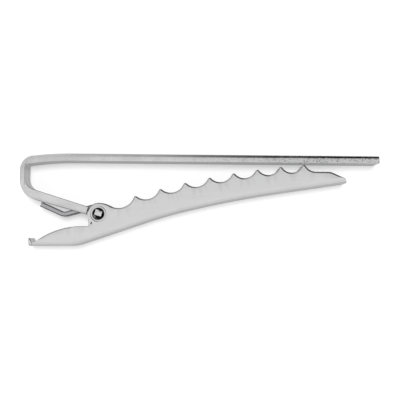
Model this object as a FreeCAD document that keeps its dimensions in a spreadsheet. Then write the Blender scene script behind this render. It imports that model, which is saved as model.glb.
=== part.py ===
import FreeCAD, Part
import math
import os
import re
import Sketcher

# Tie clip with a sprung, toothed jaw, lying on its side as it does on a table.
# X runs along the front bar to its free end, Y from the jaw to the front bar and Z up from the table.
# It has three pieces: a bent strip (front bar, return bend and arm), a folded sheet jaw and a leaf spring.
# Outlines lie in the clip's mid-plane, in millimetres and degrees, about the jaw's pivot axis.

SIZES = {
    # Strip: front bar and return bend
    "bar_length": 50.0,
    "bar_width": 5.6,
    "bar_thickness": 1.0,
    "pivot_setback": 10.95,
    "pivot_drop": 8.35,
    "droop_reach": 7.25,
    "droop_radius": 43.6,
    "bend_thickness": 0.68,
    "bend_top_radius": 1.95,
    "bend_top_inside": 0.3,
    "bend_low_radius": 2.8,
    "bend_low_inside": 1.67,
    # Strip: arm, tongue and lugs
    "arm_slope": 15.4,
    "arm_taper": 1.78,
    "arm_above": 0.387,
    "arm_below": 0.68,
    "lug_width": 1.0,
    "lug_thickness": 0.82,
    "lug_play": 0.154,
    "lug_seat": 0.03,
    "tongue_play": 0.1,
    "tongue_gap": 0.09,
    # Jaw: folded sheet, ears and teeth
    "jaw_width": 5.4,
    "sheet_thickness": 0.5,
    "fold_inside": 0.25,
    "ear_radius": 1.5,
    "ear_foot": 1.45,
    "ear_lean": 5.5,
    "foot_radius": 0.3,
    "hole_round": 0.15,
    "brow_radius": 3.1,
    "brow_angle": 80.0,
    "neck_radius": 2.3,
    "first_tooth": 5.55,
    "tooth_pitch": 3.61,
    "pitch_step": 0.07,
    "tooth_depth": 0.9,
    "tooth_round": 0.25,
    "arch_apex": 12.0,
    "arch_radius": 110.0,
    "bite_clearance": 0.3,
    # Jaw: back and nose
    "back_depth": 2.41,
    "back_radius": 62.0,
    "shank_slope": 5.3,
    "belly_radius": 150.0,
    "nose_fall": 5.0,
    "nose_reach": 5.3,
    "nose_run": 1.5,
    "nose_depth": 1.32,
    "nose_flat": 2.04,
    "nose_angle": 13.7,
    "nose_radius": 2.0,
    "tip_height": 0.6,
    # Jaw: thumb tab, end lip and the punch mark beside the ear
    "tab_root": 4.07,
    "tab_length": 6.63,
    "tab_angle": 13.2,
    "tab_bend_radius": 5.5,
    "crown_radius": 10.7,
    "notch_width": 0.35,
    "lip_height": 1.13,
    "lip_edge": 0.2,
    "mark_back": 1.26,
    "mark_drop": 1.05,
    "mark_width": 0.18,
    "mark_height": 0.35,
    # Leaf spring
    "spring_width": 2.6,
    "spring_thickness": 0.66,
    "spring_seat": 0.04,
    "spring_play": 0.15,
    "leg_reach": 8.2,
    "bow_reach": 4.7,
    "bow_depth": 1.56,
    "bow_radius": 1.2,
    "wrap_gap": 0.08,
    "heel_back": 0.6,
    "heel_radius": 0.8,
    "toe_gap": 2.23,
}
TOOTH_COUNT = 8
SAME_PLACE = 1e-4

# Formulas on the sheet: a name with an underscore is one of its cells
LUG_RISE = "(lug_play - lug_seat)"
LUG_CORNER = "(sqrt(lug_width ^ 2 + lug_thickness ^ 2) / 2)"
HOLE_RADIUS = f"({LUG_CORNER} + lug_play)"
CHANNEL_WIDTH = "(jaw_width - 2 * sheet_thickness)"
TOOTH_GAPS = TOOTH_COUNT - 1
BITE_REACH = f"(first_tooth + {TOOTH_GAPS} * tooth_pitch - {TOOTH_GAPS * (TOOTH_GAPS - 1) // 2} * pitch_step)"
BITE_ANGLE = f"asin((pivot_drop - bar_thickness - bite_clearance) / {BITE_REACH})"
TIP_REACH = f"({BITE_REACH} + nose_reach)"
BACK_CENTER = "(-back_depth - back_radius)"
BELLY_CENTER = "(-back_depth - belly_radius)"
TAB_BEND_RUN = "(tab_bend_radius * tan((shank_slope + tab_angle) / 2))"
TAB_ROOT_DROP = (
    f"({BACK_CENTER} + back_radius * cos(shank_slope)"
    " - (arch_apex - back_radius * sin(shank_slope) + tab_root) * tan(shank_slope))"
)

document = FreeCAD.newDocument("tie_clip")
sheet = document.addObject("Spreadsheet::Sheet", "Sizes")
for row, (name, size) in enumerate(SIZES.items(), start=1):
    sheet.set(f"A{row}", name)
    sheet.set(f"B{row}", str(size))
    sheet.setAlias(f"B{row}", name)
document.recompute()


def cells(formula):
    """Formula as the document reads it, with each cell's name led by its sheet."""
    return re.sub(r"\b[a-z]+(?:_[a-z]+)+\b", r"Sizes.\g<0>", formula)


def value(formula):
    """Number that a formula on the sheet gives now."""
    result = sheet.evalExpression(cells(formula))
    return float(getattr(result, "Value", result))


def place(point):
    """Position that a pair of formulas gives now."""
    return FreeCAD.Vector(value(point[0]), value(point[1]), 0)


def on_arm(along, below):
    """Point on the arm: its distance from the lugs towards the bend, and below the arm's middle."""
    return (
        f"-({along}) * cos(arm_slope) - ({below}) * sin(arm_slope)",
        f"{LUG_RISE} + ({along}) * sin(arm_slope) - ({below}) * cos(arm_slope)",
    )


def on_tab(back, rise):
    """Point on the thumb tab: its distance from the tab's root, and above the tab's underside."""
    return (
        f"-tab_root - ({back}) * cos(tab_angle) + ({rise}) * sin(tab_angle)",
        f"{TAB_ROOT_DROP} + ({back}) * sin(tab_angle) + ({rise}) * cos(tab_angle)",
    )


def shut(point):
    """Point of the jaw as it lies when the jaw is shut."""
    return (
        f"({point[0]}) * cos({BITE_ANGLE}) - ({point[1]}) * sin({BITE_ANGLE})",
        f"({point[0]}) * sin({BITE_ANGLE}) + ({point[1]}) * cos({BITE_ANGLE})",
    )


def nose_line(rise, reach):
    """Point over the straight back of the nose: its height above the sheet's outside, and its reach."""
    start = (f"(arch_apex + (belly_radius + {rise}) * sin(nose_fall))",
             f"({BELLY_CENTER} + (belly_radius + {rise}) * cos(nose_fall))")
    return reach, f"{start[1]} - ({reach} - {start[0]}) * tan(nose_fall)"


def back_line(rise, back, reach):
    """Corners of a line that follows the jaw's back at one height, from the tab's end to the tip."""
    bend_end = (
        f"-tab_root + {TAB_BEND_RUN} * cos(shank_slope) - ({rise}) * sin(shank_slope)",
        f"{TAB_ROOT_DROP} + {TAB_BEND_RUN} * sin(shank_slope) + ({rise}) * cos(shank_slope)",
    )
    shank_end = (
        f"arch_apex - (back_radius + {rise}) * sin(shank_slope)",
        f"{BACK_CENTER} + (back_radius + {rise}) * cos(shank_slope)",
    )
    apex = ("arch_apex", f"-back_depth + {rise}")
    nose_start = (
        f"arch_apex + (belly_radius + {rise}) * sin(nose_fall)",
        f"{BELLY_CENTER} + (belly_radius + {rise}) * cos(nose_fall)",
    )
    tab = [on_tab(back, rise), on_tab(TAB_BEND_RUN, rise)]
    return [*tab, bend_end, shank_end, apex, nose_start, nose_line(rise, reach)]


class Outline:
    """Sketch in a body's mid-plane, drawn edge by edge with its points and radii tied to the sheet."""

    def __init__(self, body, name):
        self.sketch = body.newObject("Sketcher::SketchObject", name)
        mid_plane = next(item for item in body.Origin.OriginFeatures if item.Role == "XY_Plane")
        self.sketch.AttachmentSupport = [(mid_plane, "")]
        self.sketch.MapMode = "FlatFace"
        self.edges = []

    def tie(self, kind, formula, *places):
        """Add a size and bind it to the sheet."""
        index = self.sketch.addConstraint(Sketcher.Constraint(kind, *places, value(formula)))
        self.sketch.setExpression(f"Constraints[{index}]", cells(formula))

    def pin(self, geometry, vertex, point):
        """Tie a vertex to its place."""
        self.tie("DistanceX", point[0], -1, 1, geometry, vertex)
        self.tie("DistanceY", point[1], -1, 1, geometry, vertex)

    def add_line(self, start, end):
        """Draw a straight edge between two positions."""
        index = self.sketch.addGeometry(Part.LineSegment(start, end), False)
        self.edges.append((index, 1, 2))
        return index

    def add_arc(self, center, start, end, clockwise):
        """Draw a round edge from one position to another about a centre."""
        first, last = (end, start) if clockwise else (start, end)
        angles = [math.atan2(spot.y - center.y, spot.x - center.x) for spot in (first, last)]
        circle = Part.Circle(center, FreeCAD.Vector(0, 0, 1), center.distanceToPoint(start))
        index = self.sketch.addGeometry(Part.ArcOfCircle(circle, *angles), False)
        self.edges.append((index, 2, 1) if clockwise else (index, 1, 2))
        return index

    def join(self, kind, before, after):
        """Let one edge run into another, as a corner or smoothly."""
        self.sketch.addConstraint(Sketcher.Constraint(kind, before[0], before[2], after[0], after[1]))

    def begin(self, point):
        """Start the outline at a point."""
        self.start = point
        self.here = point

    def settle(self, point):
        """Join the newest edge to the one before and tie its end to its place."""
        newest = self.edges[-1]
        if len(self.edges) == 1:
            self.pin(newest[0], newest[1], self.start)
        else:
            self.join("Coincident", self.edges[-2], newest)
        if point is self.start:
            self.join("Coincident", newest, self.edges[0])
        else:
            self.pin(newest[0], newest[2], point)
        self.here = point

    def line_to(self, point):
        """Draw a straight edge to a point."""
        self.add_line(place(self.here), place(point))
        self.settle(point)

    def arc_to(self, point, radius, clockwise):
        """Draw a round edge of a given radius to a point."""
        start = place(self.here)
        end = place(point)
        chord = end - start
        rise = math.sqrt(value(radius) ** 2 - (chord.Length / 2) ** 2)
        side = FreeCAD.Vector(chord.y, -chord.x, 0) if clockwise else FreeCAD.Vector(-chord.y, chord.x, 0)
        center = (start + end) * 0.5 + side.normalize() * rise
        arc = self.add_arc(center, start, end, clockwise)
        self.tie("Radius", radius, arc)
        self.settle(point)

    def back_to(self, points, bends):
        """Follow a line of points, with a round edge of the given radius and turn where one is named."""
        for point, bend in zip(points, bends):
            if bend:
                self.arc_to(point, *bend)
            else:
                self.line_to(point)

    def close(self):
        """Draw the last straight edge, back to the start."""
        self.line_to(self.start)


def touching(first, first_radius, second, second_radius, radius):
    """Centre of a round that rests on two others from above."""
    span = second - first
    to_first = first_radius + radius
    to_second = second_radius + radius
    along = (span.Length ** 2 + to_first ** 2 - to_second ** 2) / (2 * span.Length)
    up = FreeCAD.Vector(-span.y, span.x, 0).normalize()
    return first + span * (along / span.Length) + up * math.sqrt(to_first ** 2 - along ** 2)


def toward(start, end, distance):
    """Position at a distance from one position on the way to another."""
    return start + (end - start).normalize() * distance


def rounding(before, corner, after, radius):
    """Start, centre and end of the round that takes off a corner."""
    one = (before - corner).normalize()
    other = (after - corner).normalize()
    half = one.getAngle(other) / 2
    middle = toward(corner, corner + one + other, radius / math.sin(half))
    return corner + one * (radius / math.tan(half)), middle, corner + other * (radius / math.tan(half))


def leaving(center, radius, target, side):
    """Position on a round where a straight line to a target leaves it, to the left (1) or right (-1)."""
    way = target - center
    angle = math.atan2(way.y, way.x) + side * math.acos(radius / way.Length)
    return center + FreeCAD.Vector(math.cos(angle), math.sin(angle), 0) * radius


def new_body(name):
    """Body of one piece."""
    return document.addObject("PartDesign::Body", name)


def pad(body, outline, name, width):
    """Solid of one width about the mid-plane."""
    feature = body.newObject("PartDesign::Pad", name)
    feature.Profile = outline.sketch
    feature.SideType = "Symmetric"
    feature.setExpression("Length", cells(width))
    document.recompute()
    return feature


def pocket(body, outline, name, width):
    """Cut of one width about the mid-plane."""
    volume = body.Shape.Volume
    feature = body.newObject("PartDesign::Pocket", name)
    feature.Profile = outline.sketch
    feature.SideType = "Symmetric"
    feature.setExpression("Length", cells(width))
    document.recompute()
    if not feature.Shape.Volume < volume:
        raise RuntimeError(f"{name} cuts nothing")
    return feature


def round_off(body, name, radius, edges):
    """Round the named edges of a body as it stands."""
    feature = body.newObject("PartDesign::Fillet", name)
    feature.Base = (body.Tip if body.Tip is not feature else feature.BaseFeature, edges)
    feature.setExpression("Radius", cells(radius))
    document.recompute()
    return feature


def edges_where(shape, test):
    """Names of a shape's edges whose two ends pass a test."""
    names = []
    for number, edge in enumerate(shape.Edges, start=1):
        ends = [vertex.Point for vertex in edge.Vertexes]
        if len(ends) == 2 and test(*ends):
            names.append(f"Edge{number}")
    return names


def upright_at(shape, *points):
    """Names of the edges that cross the sheet or strip at given points."""
    spots = [place(point) for point in points]

    def test(one, other):
        flat = [FreeCAD.Vector(end.x, end.y, 0) for end in (one, other)]
        return any(all(end.distanceToPoint(spot) < SAME_PLACE for end in flat) for spot in spots)

    return edges_where(shape, test)


def lengthwise_through(shape, points, half_width):
    """Names of the edges that run through given points along either side."""
    spots = [place(point) for point in points]

    def test(one, other):
        level = abs(one.z - other.z) < SAME_PLACE and abs(abs(one.z) - half_width) < SAME_PLACE
        flat = [FreeCAD.Vector(end.x, end.y, 0) for end in (one, other)]
        return level and all(any(end.distanceToPoint(spot) < SAME_PLACE for spot in spots) for end in flat)

    return edges_where(shape, test)


def build_front_bar():
    """Strip: front bar, return bend and arm, with a windowed tongue and a lug on either side."""
    body = new_body("front_bar")
    bend_outside = "-pivot_setback"
    bend_inside = "(bend_thickness - pivot_setback)"
    droop_start = "(droop_reach - pivot_setback)"
    bar_end = "(bar_length - pivot_setback)"
    underside = "(pivot_drop - bar_thickness)"
    shoulder = "(ear_radius + tongue_gap)"

    def arm_face(along, side):
        """Point on the arm's upper (-1) or lower (1) face; the upper one rises towards the bend."""
        if side > 0:
            return on_arm(along, "arm_below")
        return on_arm(along, f"-(arm_above + tan(arm_taper) * ({along} - lug_width / 2))")

    def arm_at_bend(side, upright):
        """Point where a face of the arm meets an upright face of the bend."""
        near = arm_face("lug_width / 2", side)
        slope = "arm_slope" if side > 0 else "(arm_slope + arm_taper)"
        return upright, f"{near[1]} + ({near[0]} - ({upright})) * tan({slope})"

    top_corner = (bend_outside,
                  "pivot_drop - droop_radius + sqrt(droop_radius ^ 2 - droop_reach ^ 2)")
    low_corner = arm_at_bend(1, bend_outside)
    low_inside = arm_at_bend(-1, bend_inside)
    top_inside = (bend_inside,
                  "pivot_drop - droop_radius + sqrt((droop_radius - bar_thickness) ^ 2"
                  " - (droop_reach - bend_thickness) ^ 2)")

    strip = Outline(body, "strip_outline")
    strip.begin((bar_end, "pivot_drop"))
    strip.line_to((droop_start, "pivot_drop"))
    strip.arc_to(top_corner, "droop_radius", False)
    strip.line_to(low_corner)
    strip.line_to(arm_face(shoulder, 1))
    strip.line_to(arm_face(shoulder, -1))
    strip.line_to(low_inside)
    strip.line_to(top_inside)
    strip.arc_to((droop_start, underside), "(droop_radius - bar_thickness)", True)
    strip.line_to((bar_end, underside))
    strip.close()
    solid = pad(body, strip, "strip", "bar_width")
    for name, radius, corner in (
        ("bend_top", "bend_top_radius", top_corner),
        ("bend_low", "bend_low_radius", low_corner),
        ("bend_top_hollow", "bend_top_inside", top_inside),
        ("bend_low_hollow", "bend_low_inside", low_inside),
    ):
        solid = round_off(body, name, radius, upright_at(solid.Shape, corner))

    tongue = Outline(body, "tongue_outline")
    tongue.begin(arm_face(shoulder, -1))
    tongue.line_to(arm_face(shoulder, 1))
    tongue.line_to(on_arm("lug_width / 2", "lug_thickness / 2"))
    tongue.line_to(on_arm("-lug_width / 2", "lug_thickness / 2"))
    tongue.line_to(on_arm("-lug_width / 2", "-lug_thickness / 2"))
    tongue.line_to(on_arm("lug_width / 2", "-lug_thickness / 2"))
    tongue.close()
    pad(body, tongue, "tongue", f"{CHANNEL_WIDTH} - 2 * tongue_play")

    lug = Outline(body, "lug_outline")
    lug.begin(on_arm("lug_width / 2", "lug_thickness / 2"))
    lug.line_to(on_arm("-lug_width / 2", "lug_thickness / 2"))
    lug.line_to(on_arm("-lug_width / 2", "-lug_thickness / 2"))
    lug.line_to(on_arm("lug_width / 2", "-lug_thickness / 2"))
    lug.close()
    pad(body, lug, "lugs", "jaw_width")

    window = Outline(body, "window_outline")
    window.begin(on_arm("lug_width / 2", "bar_thickness"))
    window.line_to(on_arm("lug_width / 2", "-bar_thickness"))
    window.line_to(on_arm("bow_reach", "-bar_thickness"))
    window.line_to(on_arm("bow_reach", "bar_thickness"))
    window.close()
    pocket(body, window, "spring_window", "spring_width + 2 * spring_play")
    return body


def tooth_spot(number):
    """Centre of a tooth's rounded crest, counted from the ear."""
    reach = f"(first_tooth + {number} * tooth_pitch - {number * (number - 1) // 2} * pitch_step)"
    height = (f"sqrt(arch_radius ^ 2 - ({reach} - arch_apex) ^ 2)"
              f" - sqrt(arch_radius ^ 2 - ({BITE_REACH} - arch_apex) ^ 2)")
    return reach, f"{height} - tooth_round"


def draw_teeth(trim):
    """Ear, brow, neck and teeth as rounds that run into each other, then the nose's hollow and two straights."""
    brow_set = "(ear_radius - brow_radius)"
    crests = [((f"{brow_set} * cos(brow_angle)", f"{brow_set} * sin(brow_angle)"), "brow_radius")]
    crests += [(tooth_spot(number), "tooth_round") for number in range(TOOTH_COUNT)]
    hollows = ["neck_radius"]
    for number in range(TOOTH_GAPS):
        pitch = f"(tooth_pitch - {number} * pitch_step)"
        hollows.append(f"(({pitch} ^ 2 / 4 + tooth_depth ^ 2) / (2 * tooth_depth) - tooth_round)")
    nose_start = (f"{BITE_REACH} + nose_run", "-nose_depth")
    nose_corner = (f"{BITE_REACH} + nose_run + nose_flat * cos(nose_angle)",
                   "-nose_depth - nose_flat * sin(nose_angle)")
    tip_top = (TIP_REACH, f"{nose_line('0', TIP_REACH)[1]} + tip_height")

    spots = [place(spot) for spot, radius in crests]
    radii = [value(radius) for spot, radius in crests]
    centers = []
    for number, radius in enumerate(hollows):
        centers.append(touching(spots[number], radii[number], spots[number + 1], radii[number + 1], value(radius)))
    flat_start = place(nose_start)
    flat_up = FreeCAD.Vector(math.sin(math.radians(value("nose_angle"))),
                             math.cos(math.radians(value("nose_angle"))), 0)
    drop = flat_start - spots[-1]
    nose_hollow = (drop.Length ** 2 - radii[-1] ** 2) / (2 * (radii[-1] - flat_up.dot(drop)))
    centers.append(flat_start + flat_up * nose_hollow)

    brow_start = ("ear_radius * cos(brow_angle)", "ear_radius * sin(brow_angle)")
    start = place(brow_start)
    ear_side = place(("-ear_radius * cos(ear_lean)", "ear_radius * sin(ear_lean)"))
    trim.add_line(place(trim.here), ear_side)
    trim.join("Coincident", trim.edges[-2], trim.edges[-1])
    ear = trim.add_arc(FreeCAD.Vector(), ear_side, start, True)
    trim.join("Tangent", trim.edges[-2], trim.edges[-1])
    trim.tie("Radius", "ear_radius", ear)
    trim.sketch.addConstraint(Sketcher.Constraint("Coincident", ear, 3, -1, 1))
    trim.tie("DistanceX", brow_start[0], -1, 1, ear, trim.edges[-1][2])
    for number, (spot, radius) in enumerate(crests):
        end = toward(spots[number], centers[number], radii[number])
        crest = trim.add_arc(spots[number], start, end, True)
        trim.join("Tangent", trim.edges[-2], trim.edges[-1])
        trim.tie("Radius", radius, crest)
        if number > 0:
            trim.pin(crest, 3, spot)
        if number + 1 < len(crests):
            start = toward(spots[number + 1], centers[number], radii[number + 1])
            hollow = trim.add_arc(centers[number], end, start, False)
            trim.tie("Radius", hollows[number], hollow)
        else:
            trim.add_arc(centers[number], end, flat_start, False)
        trim.join("Tangent", trim.edges[-2], trim.edges[-1])
    flat = trim.add_line(flat_start, place(nose_corner))
    trim.join("Tangent", trim.edges[-2], trim.edges[-1])
    trim.pin(flat, 1, nose_start)
    trim.pin(flat, 2, nose_corner)
    trim.here = nose_corner
    trim.line_to(tip_top)
    return nose_corner, tip_top


def build_jaw():
    """Folded sheet: back with rounded folds, two toothed walls with ears, a nose and a thumb tab with a lip."""
    body = new_body("jaw")
    clear_top = "4 * ear_radius"
    lip_inside = "(tab_length - sheet_thickness)"
    bends_up = [None, ("(tab_bend_radius - {rise})", False), None, ("(back_radius + {rise})", True),
                ("(belly_radius + {rise})", True), None]

    def follow_back(outline, rise, points):
        """Draw the jaw's back at one height."""
        bends = [bend and (bend[0].format(rise=rise), bend[1]) for bend in bends_up]
        outline.back_to(points[1:], bends)

    outside = back_line("0", "tab_length", TIP_REACH)
    blank = Outline(body, "blank_outline")
    blank.begin(outside[0])
    follow_back(blank, "0", outside)
    blank.line_to((TIP_REACH, clear_top))
    blank.line_to(on_tab("tab_length", clear_top))
    blank.close()
    solid = pad(body, blank, "blank", "jaw_width")
    half_width = value("jaw_width / 2")
    solid = round_off(body, "folds", "fold_inside + sheet_thickness",
                      lengthwise_through(solid.Shape, outside, half_width))

    past_tip = f"({TIP_REACH} + sheet_thickness)"
    inside = back_line("sheet_thickness", lip_inside, past_tip)
    channel = Outline(body, "channel_outline")
    channel.begin(inside[0])
    follow_back(channel, "sheet_thickness", inside)
    channel.line_to((past_tip, f"2 * {clear_top}"))
    channel.line_to(on_tab(lip_inside, f"2 * {clear_top}"))
    channel.close()
    solid = pocket(body, channel, "channel", CHANNEL_WIDTH)
    inside_tip = inside[:-1] + [nose_line("sheet_thickness", TIP_REACH)]
    solid = round_off(body, "fold_hollows", "fold_inside",
                      lengthwise_through(solid.Shape, inside_tip, value(f"{CHANNEL_WIDTH} / 2")))

    ear_foot = ("-(ear_radius / cos(ear_lean) + ear_foot * tan(ear_lean))", "-ear_foot")
    past_lip = "(tab_length + sheet_thickness)"
    trim = Outline(body, "wall_outline")
    trim.begin(on_tab(past_lip, f"2 * {clear_top}"))
    trim.line_to(on_tab(past_lip, "lip_height"))
    trim.line_to(on_tab("tab_length - lip_edge", "lip_height"))
    trim.line_to(on_tab(lip_inside, "sheet_thickness"))
    trim.line_to(on_tab(f"{lip_inside} - notch_width", "sheet_thickness"))
    trim.arc_to(ear_foot, "crown_radius", True)
    nose_corner, tip_top = draw_teeth(trim)
    trim.line_to((past_tip, tip_top[1]))
    trim.line_to((past_tip, f"2 * {clear_top}"))
    trim.close()
    solid = pocket(body, trim, "wall_trim", "2 * jaw_width")
    solid = round_off(body, "ear_foot_round", "foot_radius", upright_at(solid.Shape, ear_foot))
    solid = round_off(body, "nose_round", "nose_radius", upright_at(solid.Shape, nose_corner))

    hole = Outline(body, "pivot_hole_outline")
    circle = hole.sketch.addGeometry(Part.Circle(FreeCAD.Vector(), FreeCAD.Vector(0, 0, 1), value(HOLE_RADIUS)))
    hole.sketch.addConstraint(Sketcher.Constraint("Coincident", circle, 3, -1, 1))
    hole.tie("Radius", HOLE_RADIUS, circle)
    solid = pocket(body, hole, "pivot_hole", "2 * jaw_width")
    rims = []
    for number, edge in enumerate(solid.Shape.Edges, start=1):
        ring = isinstance(edge.Curve, Part.Circle) and len(edge.Vertexes) == 1
        if ring and abs(abs(edge.Curve.Center.z) - half_width) < SAME_PLACE:
            rims.append(f"Edge{number}")
    round_off(body, "hole_rims", "hole_round", rims)

    mark = Outline(body, "mark_outline")
    mark.begin(("-mark_back - mark_width / 2", "-mark_drop - mark_height / 2"))
    mark.line_to(("-mark_back + mark_width / 2", "-mark_drop - mark_height / 2"))
    mark.line_to(("-mark_back + mark_width / 2", "-mark_drop + mark_height / 2"))
    mark.line_to(("-mark_back - mark_width / 2", "-mark_drop + mark_height / 2"))
    mark.close()
    pocket(body, mark, "punch_mark", "2 * jaw_width")
    return body


def build_spring():
    """Leaf: upper leg under the arm, bow, wrap round the tongue's cross-bar, lower leg and foot in the tab."""
    body = new_body("spring")
    half_leaf = "spring_thickness / 2"
    free_end = on_arm("leg_reach", f"arm_below + spring_seat + {half_leaf}")
    bow_corner = on_arm("bow_reach", "bow_depth")
    wrap_center = ("0", LUG_RISE)
    wrap_radius = f"({LUG_CORNER} + wrap_gap + {half_leaf})"
    foot_rise = f"sheet_thickness + spring_seat + {half_leaf}"
    heel_corner = shut(on_tab("heel_back", foot_rise))
    toe = shut(on_tab("tab_length - toe_gap", foot_rise))

    free, bow, heel, foot_end = (place(point) for point in (free_end, bow_corner, heel_corner, toe))
    middle = place(wrap_center)
    wrap_start = leaving(middle, value(wrap_radius), bow, -1)
    wrap_end = leaving(middle, value(wrap_radius), heel, 1)
    bow_start, bow_middle, bow_end = rounding(free, bow, wrap_start, value("bow_radius"))
    heel_start, heel_middle, heel_end = rounding(wrap_end, heel, foot_end, value("heel_radius"))

    path = Outline(body, "leaf_path")
    upper = path.add_line(free, bow_start)
    bow_arc = path.add_arc(bow_middle, bow_start, bow_end, False)
    through = path.add_line(bow_end, wrap_start)
    wrap = path.add_arc(middle, wrap_start, wrap_end, True)
    lower = path.add_line(wrap_end, heel_start)
    heel_arc = path.add_arc(heel_middle, heel_start, heel_end, True)
    foot = path.add_line(heel_end, foot_end)
    for before, after in zip(path.edges, path.edges[1:]):
        path.join("Tangent", before, after)
    path.pin(upper, 1, free_end)
    path.pin(wrap, 3, wrap_center)
    path.pin(foot, 2, toe)
    path.tie("Radius", "bow_radius", bow_arc)
    path.tie("Radius", wrap_radius, wrap)
    path.tie("Radius", "heel_radius", heel_arc)
    for spot, corner, lines in ((bow, bow_corner, (upper, through)), (heel, heel_corner, (lower, foot))):
        point = path.sketch.addGeometry(Part.Point(spot), True)
        path.pin(point, 1, corner)
        for line in lines:
            path.sketch.addConstraint(Sketcher.Constraint("PointOnObject", point, 1, line))
    document.recompute()

    section = Outline(body, "leaf_section")
    section.sketch.AttachmentSupport = [(path.sketch, "Edge1")]
    section.sketch.MapMode = "NormalToEdge"
    section.begin((f"-{half_leaf}", "-spring_width / 2"))
    section.line_to((half_leaf, "-spring_width / 2"))
    section.line_to((half_leaf, "spring_width / 2"))
    section.line_to((f"-{half_leaf}", "spring_width / 2"))
    section.close()
    document.recompute()
    leaf = body.newObject("PartDesign::AdditivePipe", "leaf")
    leaf.Profile = section.sketch
    leaf.Spine = path.sketch
    document.recompute()
    return body


front_bar = build_front_bar()
jaw = build_jaw()
spring = build_spring()

# The clip's box stands with the middle of its underside at the origin
tab_end = shut(on_tab("tab_length", "0"))
lift = "max(bar_width; jaw_width) / 2"
for piece in (front_bar, jaw, spring):
    piece.Placement = FreeCAD.Placement(FreeCAD.Vector(), FreeCAD.Rotation(FreeCAD.Vector(0, 0, 1), 0))
    piece.setExpression("Placement.Base.x", cells("pivot_setback - bar_length / 2"))
    piece.setExpression("Placement.Base.y", cells(f"-(pivot_drop + {tab_end[1]}) / 2"))
    piece.setExpression("Placement.Base.z", cells(lift))
jaw.Placement = FreeCAD.Placement(FreeCAD.Vector(), FreeCAD.Rotation(FreeCAD.Vector(0, 0, 1), value(BITE_ANGLE)))
jaw.setExpression("Placement.Rotation.Angle", cells(BITE_ANGLE))
document.recompute()

for item in document.Objects:
    if "Invalid" in item.State or "Error" in item.State:
        raise RuntimeError(f"{item.Name} failed: {item.State}")
for piece in (front_bar, jaw, spring):
    if piece.Shape.isNull() or not piece.Shape.isValid():
        raise RuntimeError(f"{piece.Label} has no valid shape")

os.makedirs("parts", exist_ok=True)
for piece in (front_bar, jaw, spring):
    piece.Shape.exportStep(f"parts/{piece.Label}.step")
    print(piece.Label, "volume", round(piece.Shape.Volume, 3), "solids", len(piece.Shape.Solids))
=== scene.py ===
"""Tie clip: meshes and finishes of its front bar, toothed jaw and leaf spring, on a white floor."""

import logging
import math
from collections.abc import Callable, Iterator, Sequence
from contextlib import contextmanager
from dataclasses import dataclass, field
from enum import Enum
from itertools import pairwise, product
from typing import Any

import bmesh
import bpy
from mathutils import Matrix, Vector, geometry


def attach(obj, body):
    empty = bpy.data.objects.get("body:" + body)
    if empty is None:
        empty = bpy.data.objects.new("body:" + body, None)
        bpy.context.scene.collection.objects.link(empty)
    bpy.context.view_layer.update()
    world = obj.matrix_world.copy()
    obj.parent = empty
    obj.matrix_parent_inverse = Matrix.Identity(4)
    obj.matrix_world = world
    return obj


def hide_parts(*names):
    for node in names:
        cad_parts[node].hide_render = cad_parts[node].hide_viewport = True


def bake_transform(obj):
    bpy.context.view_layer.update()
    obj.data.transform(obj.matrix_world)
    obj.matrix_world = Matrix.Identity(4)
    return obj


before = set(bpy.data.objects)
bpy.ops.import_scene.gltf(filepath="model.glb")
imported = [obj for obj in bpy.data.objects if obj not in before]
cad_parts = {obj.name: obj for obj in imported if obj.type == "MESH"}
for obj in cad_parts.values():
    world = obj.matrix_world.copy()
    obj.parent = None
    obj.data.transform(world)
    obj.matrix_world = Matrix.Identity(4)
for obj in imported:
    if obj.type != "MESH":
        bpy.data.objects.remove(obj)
log = logging.getLogger("tie_clip")

MM = 0.001  # in metres
PIVOT = Vector((-14.05, -1.88169, 2.8))  # in millimetres
ARM_SLOPE = 15.4  # in degrees

# Vertex share of painted shade: dark reflections of rolled edges and shade in the pressed ring's
# groove.
PAINTED_EDGE_SHADE = "painted_edge_shade"
CORNER_RADIUS = "corner_radius"

SAME_SPOT = 1e-7  # in millimetres
NEAR = 0.005  # in millimetres
LEVEL_WITHIN = 1e-7  # in metres
FLAT_WITHIN = 1e-3  # in radians
MITRE_LIMIT = 2.0
FLAT_WEIGHT = 80

UP = (0.0, 1.0)
WHITE = (1.0, 1.0, 1.0, 1.0)

Spot = tuple[float, float]
Reach = tuple[float, float]
Colour = tuple[float, float, float]


class Body(str, Enum):
    """Rigid bodies of the clip."""

    STRIP = "strip"
    JAW = "jaw"


class Stretch(Enum):
    """Stretches of the strip that differ in plan."""

    BAR = "bar"
    WINDOW = "window"
    TONGUE = "tongue"
    LUG = "lug"


class Side(float, Enum):
    """The jaw's two walls, by the sign of their height above the mid-plane."""

    NEAR = 1.0
    FAR = -1.0


def unit(spot: Spot) -> Spot:
    """Direction of a spot from the origin, with length one."""
    length = math.hypot(*spot)
    return spot[0] / length, spot[1] / length


def ahead(start: Spot, way: Spot, distance: float) -> Spot:
    """Spot at a distance from a start along a direction."""
    return start[0] + way[0] * distance, start[1] + way[1] * distance


def heading(start: Spot, end: Spot) -> Spot:
    """Direction from one spot to another, with length one."""
    return unit((end[0] - start[0], end[1] - start[1]))


def turned(spot: Spot, degrees: float) -> Spot:
    """Turn a spot about the origin, anticlockwise.

    Args:
        spot: The spot.
        degrees: Angle of the turn.

    Returns:
        The turned spot.
    """
    cosine = math.cos(math.radians(degrees))
    sine = math.sin(math.radians(degrees))
    return spot[0] * cosine - spot[1] * sine, spot[0] * sine + spot[1] * cosine


def run(start: Spot, end: Spot, steps: int) -> list[Spot]:
    """Evenly spaced spots after a start, up to and with an end."""
    way = (end[0] - start[0], end[1] - start[1])
    return [ahead(start, way, step / steps) for step in range(1, steps + 1)]


def on_round(middle: Spot, radius: float, angle: float) -> Spot:
    """Spot on a round at an angle in radians."""
    return ahead(middle, (math.cos(angle), math.sin(angle)), radius)


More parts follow.
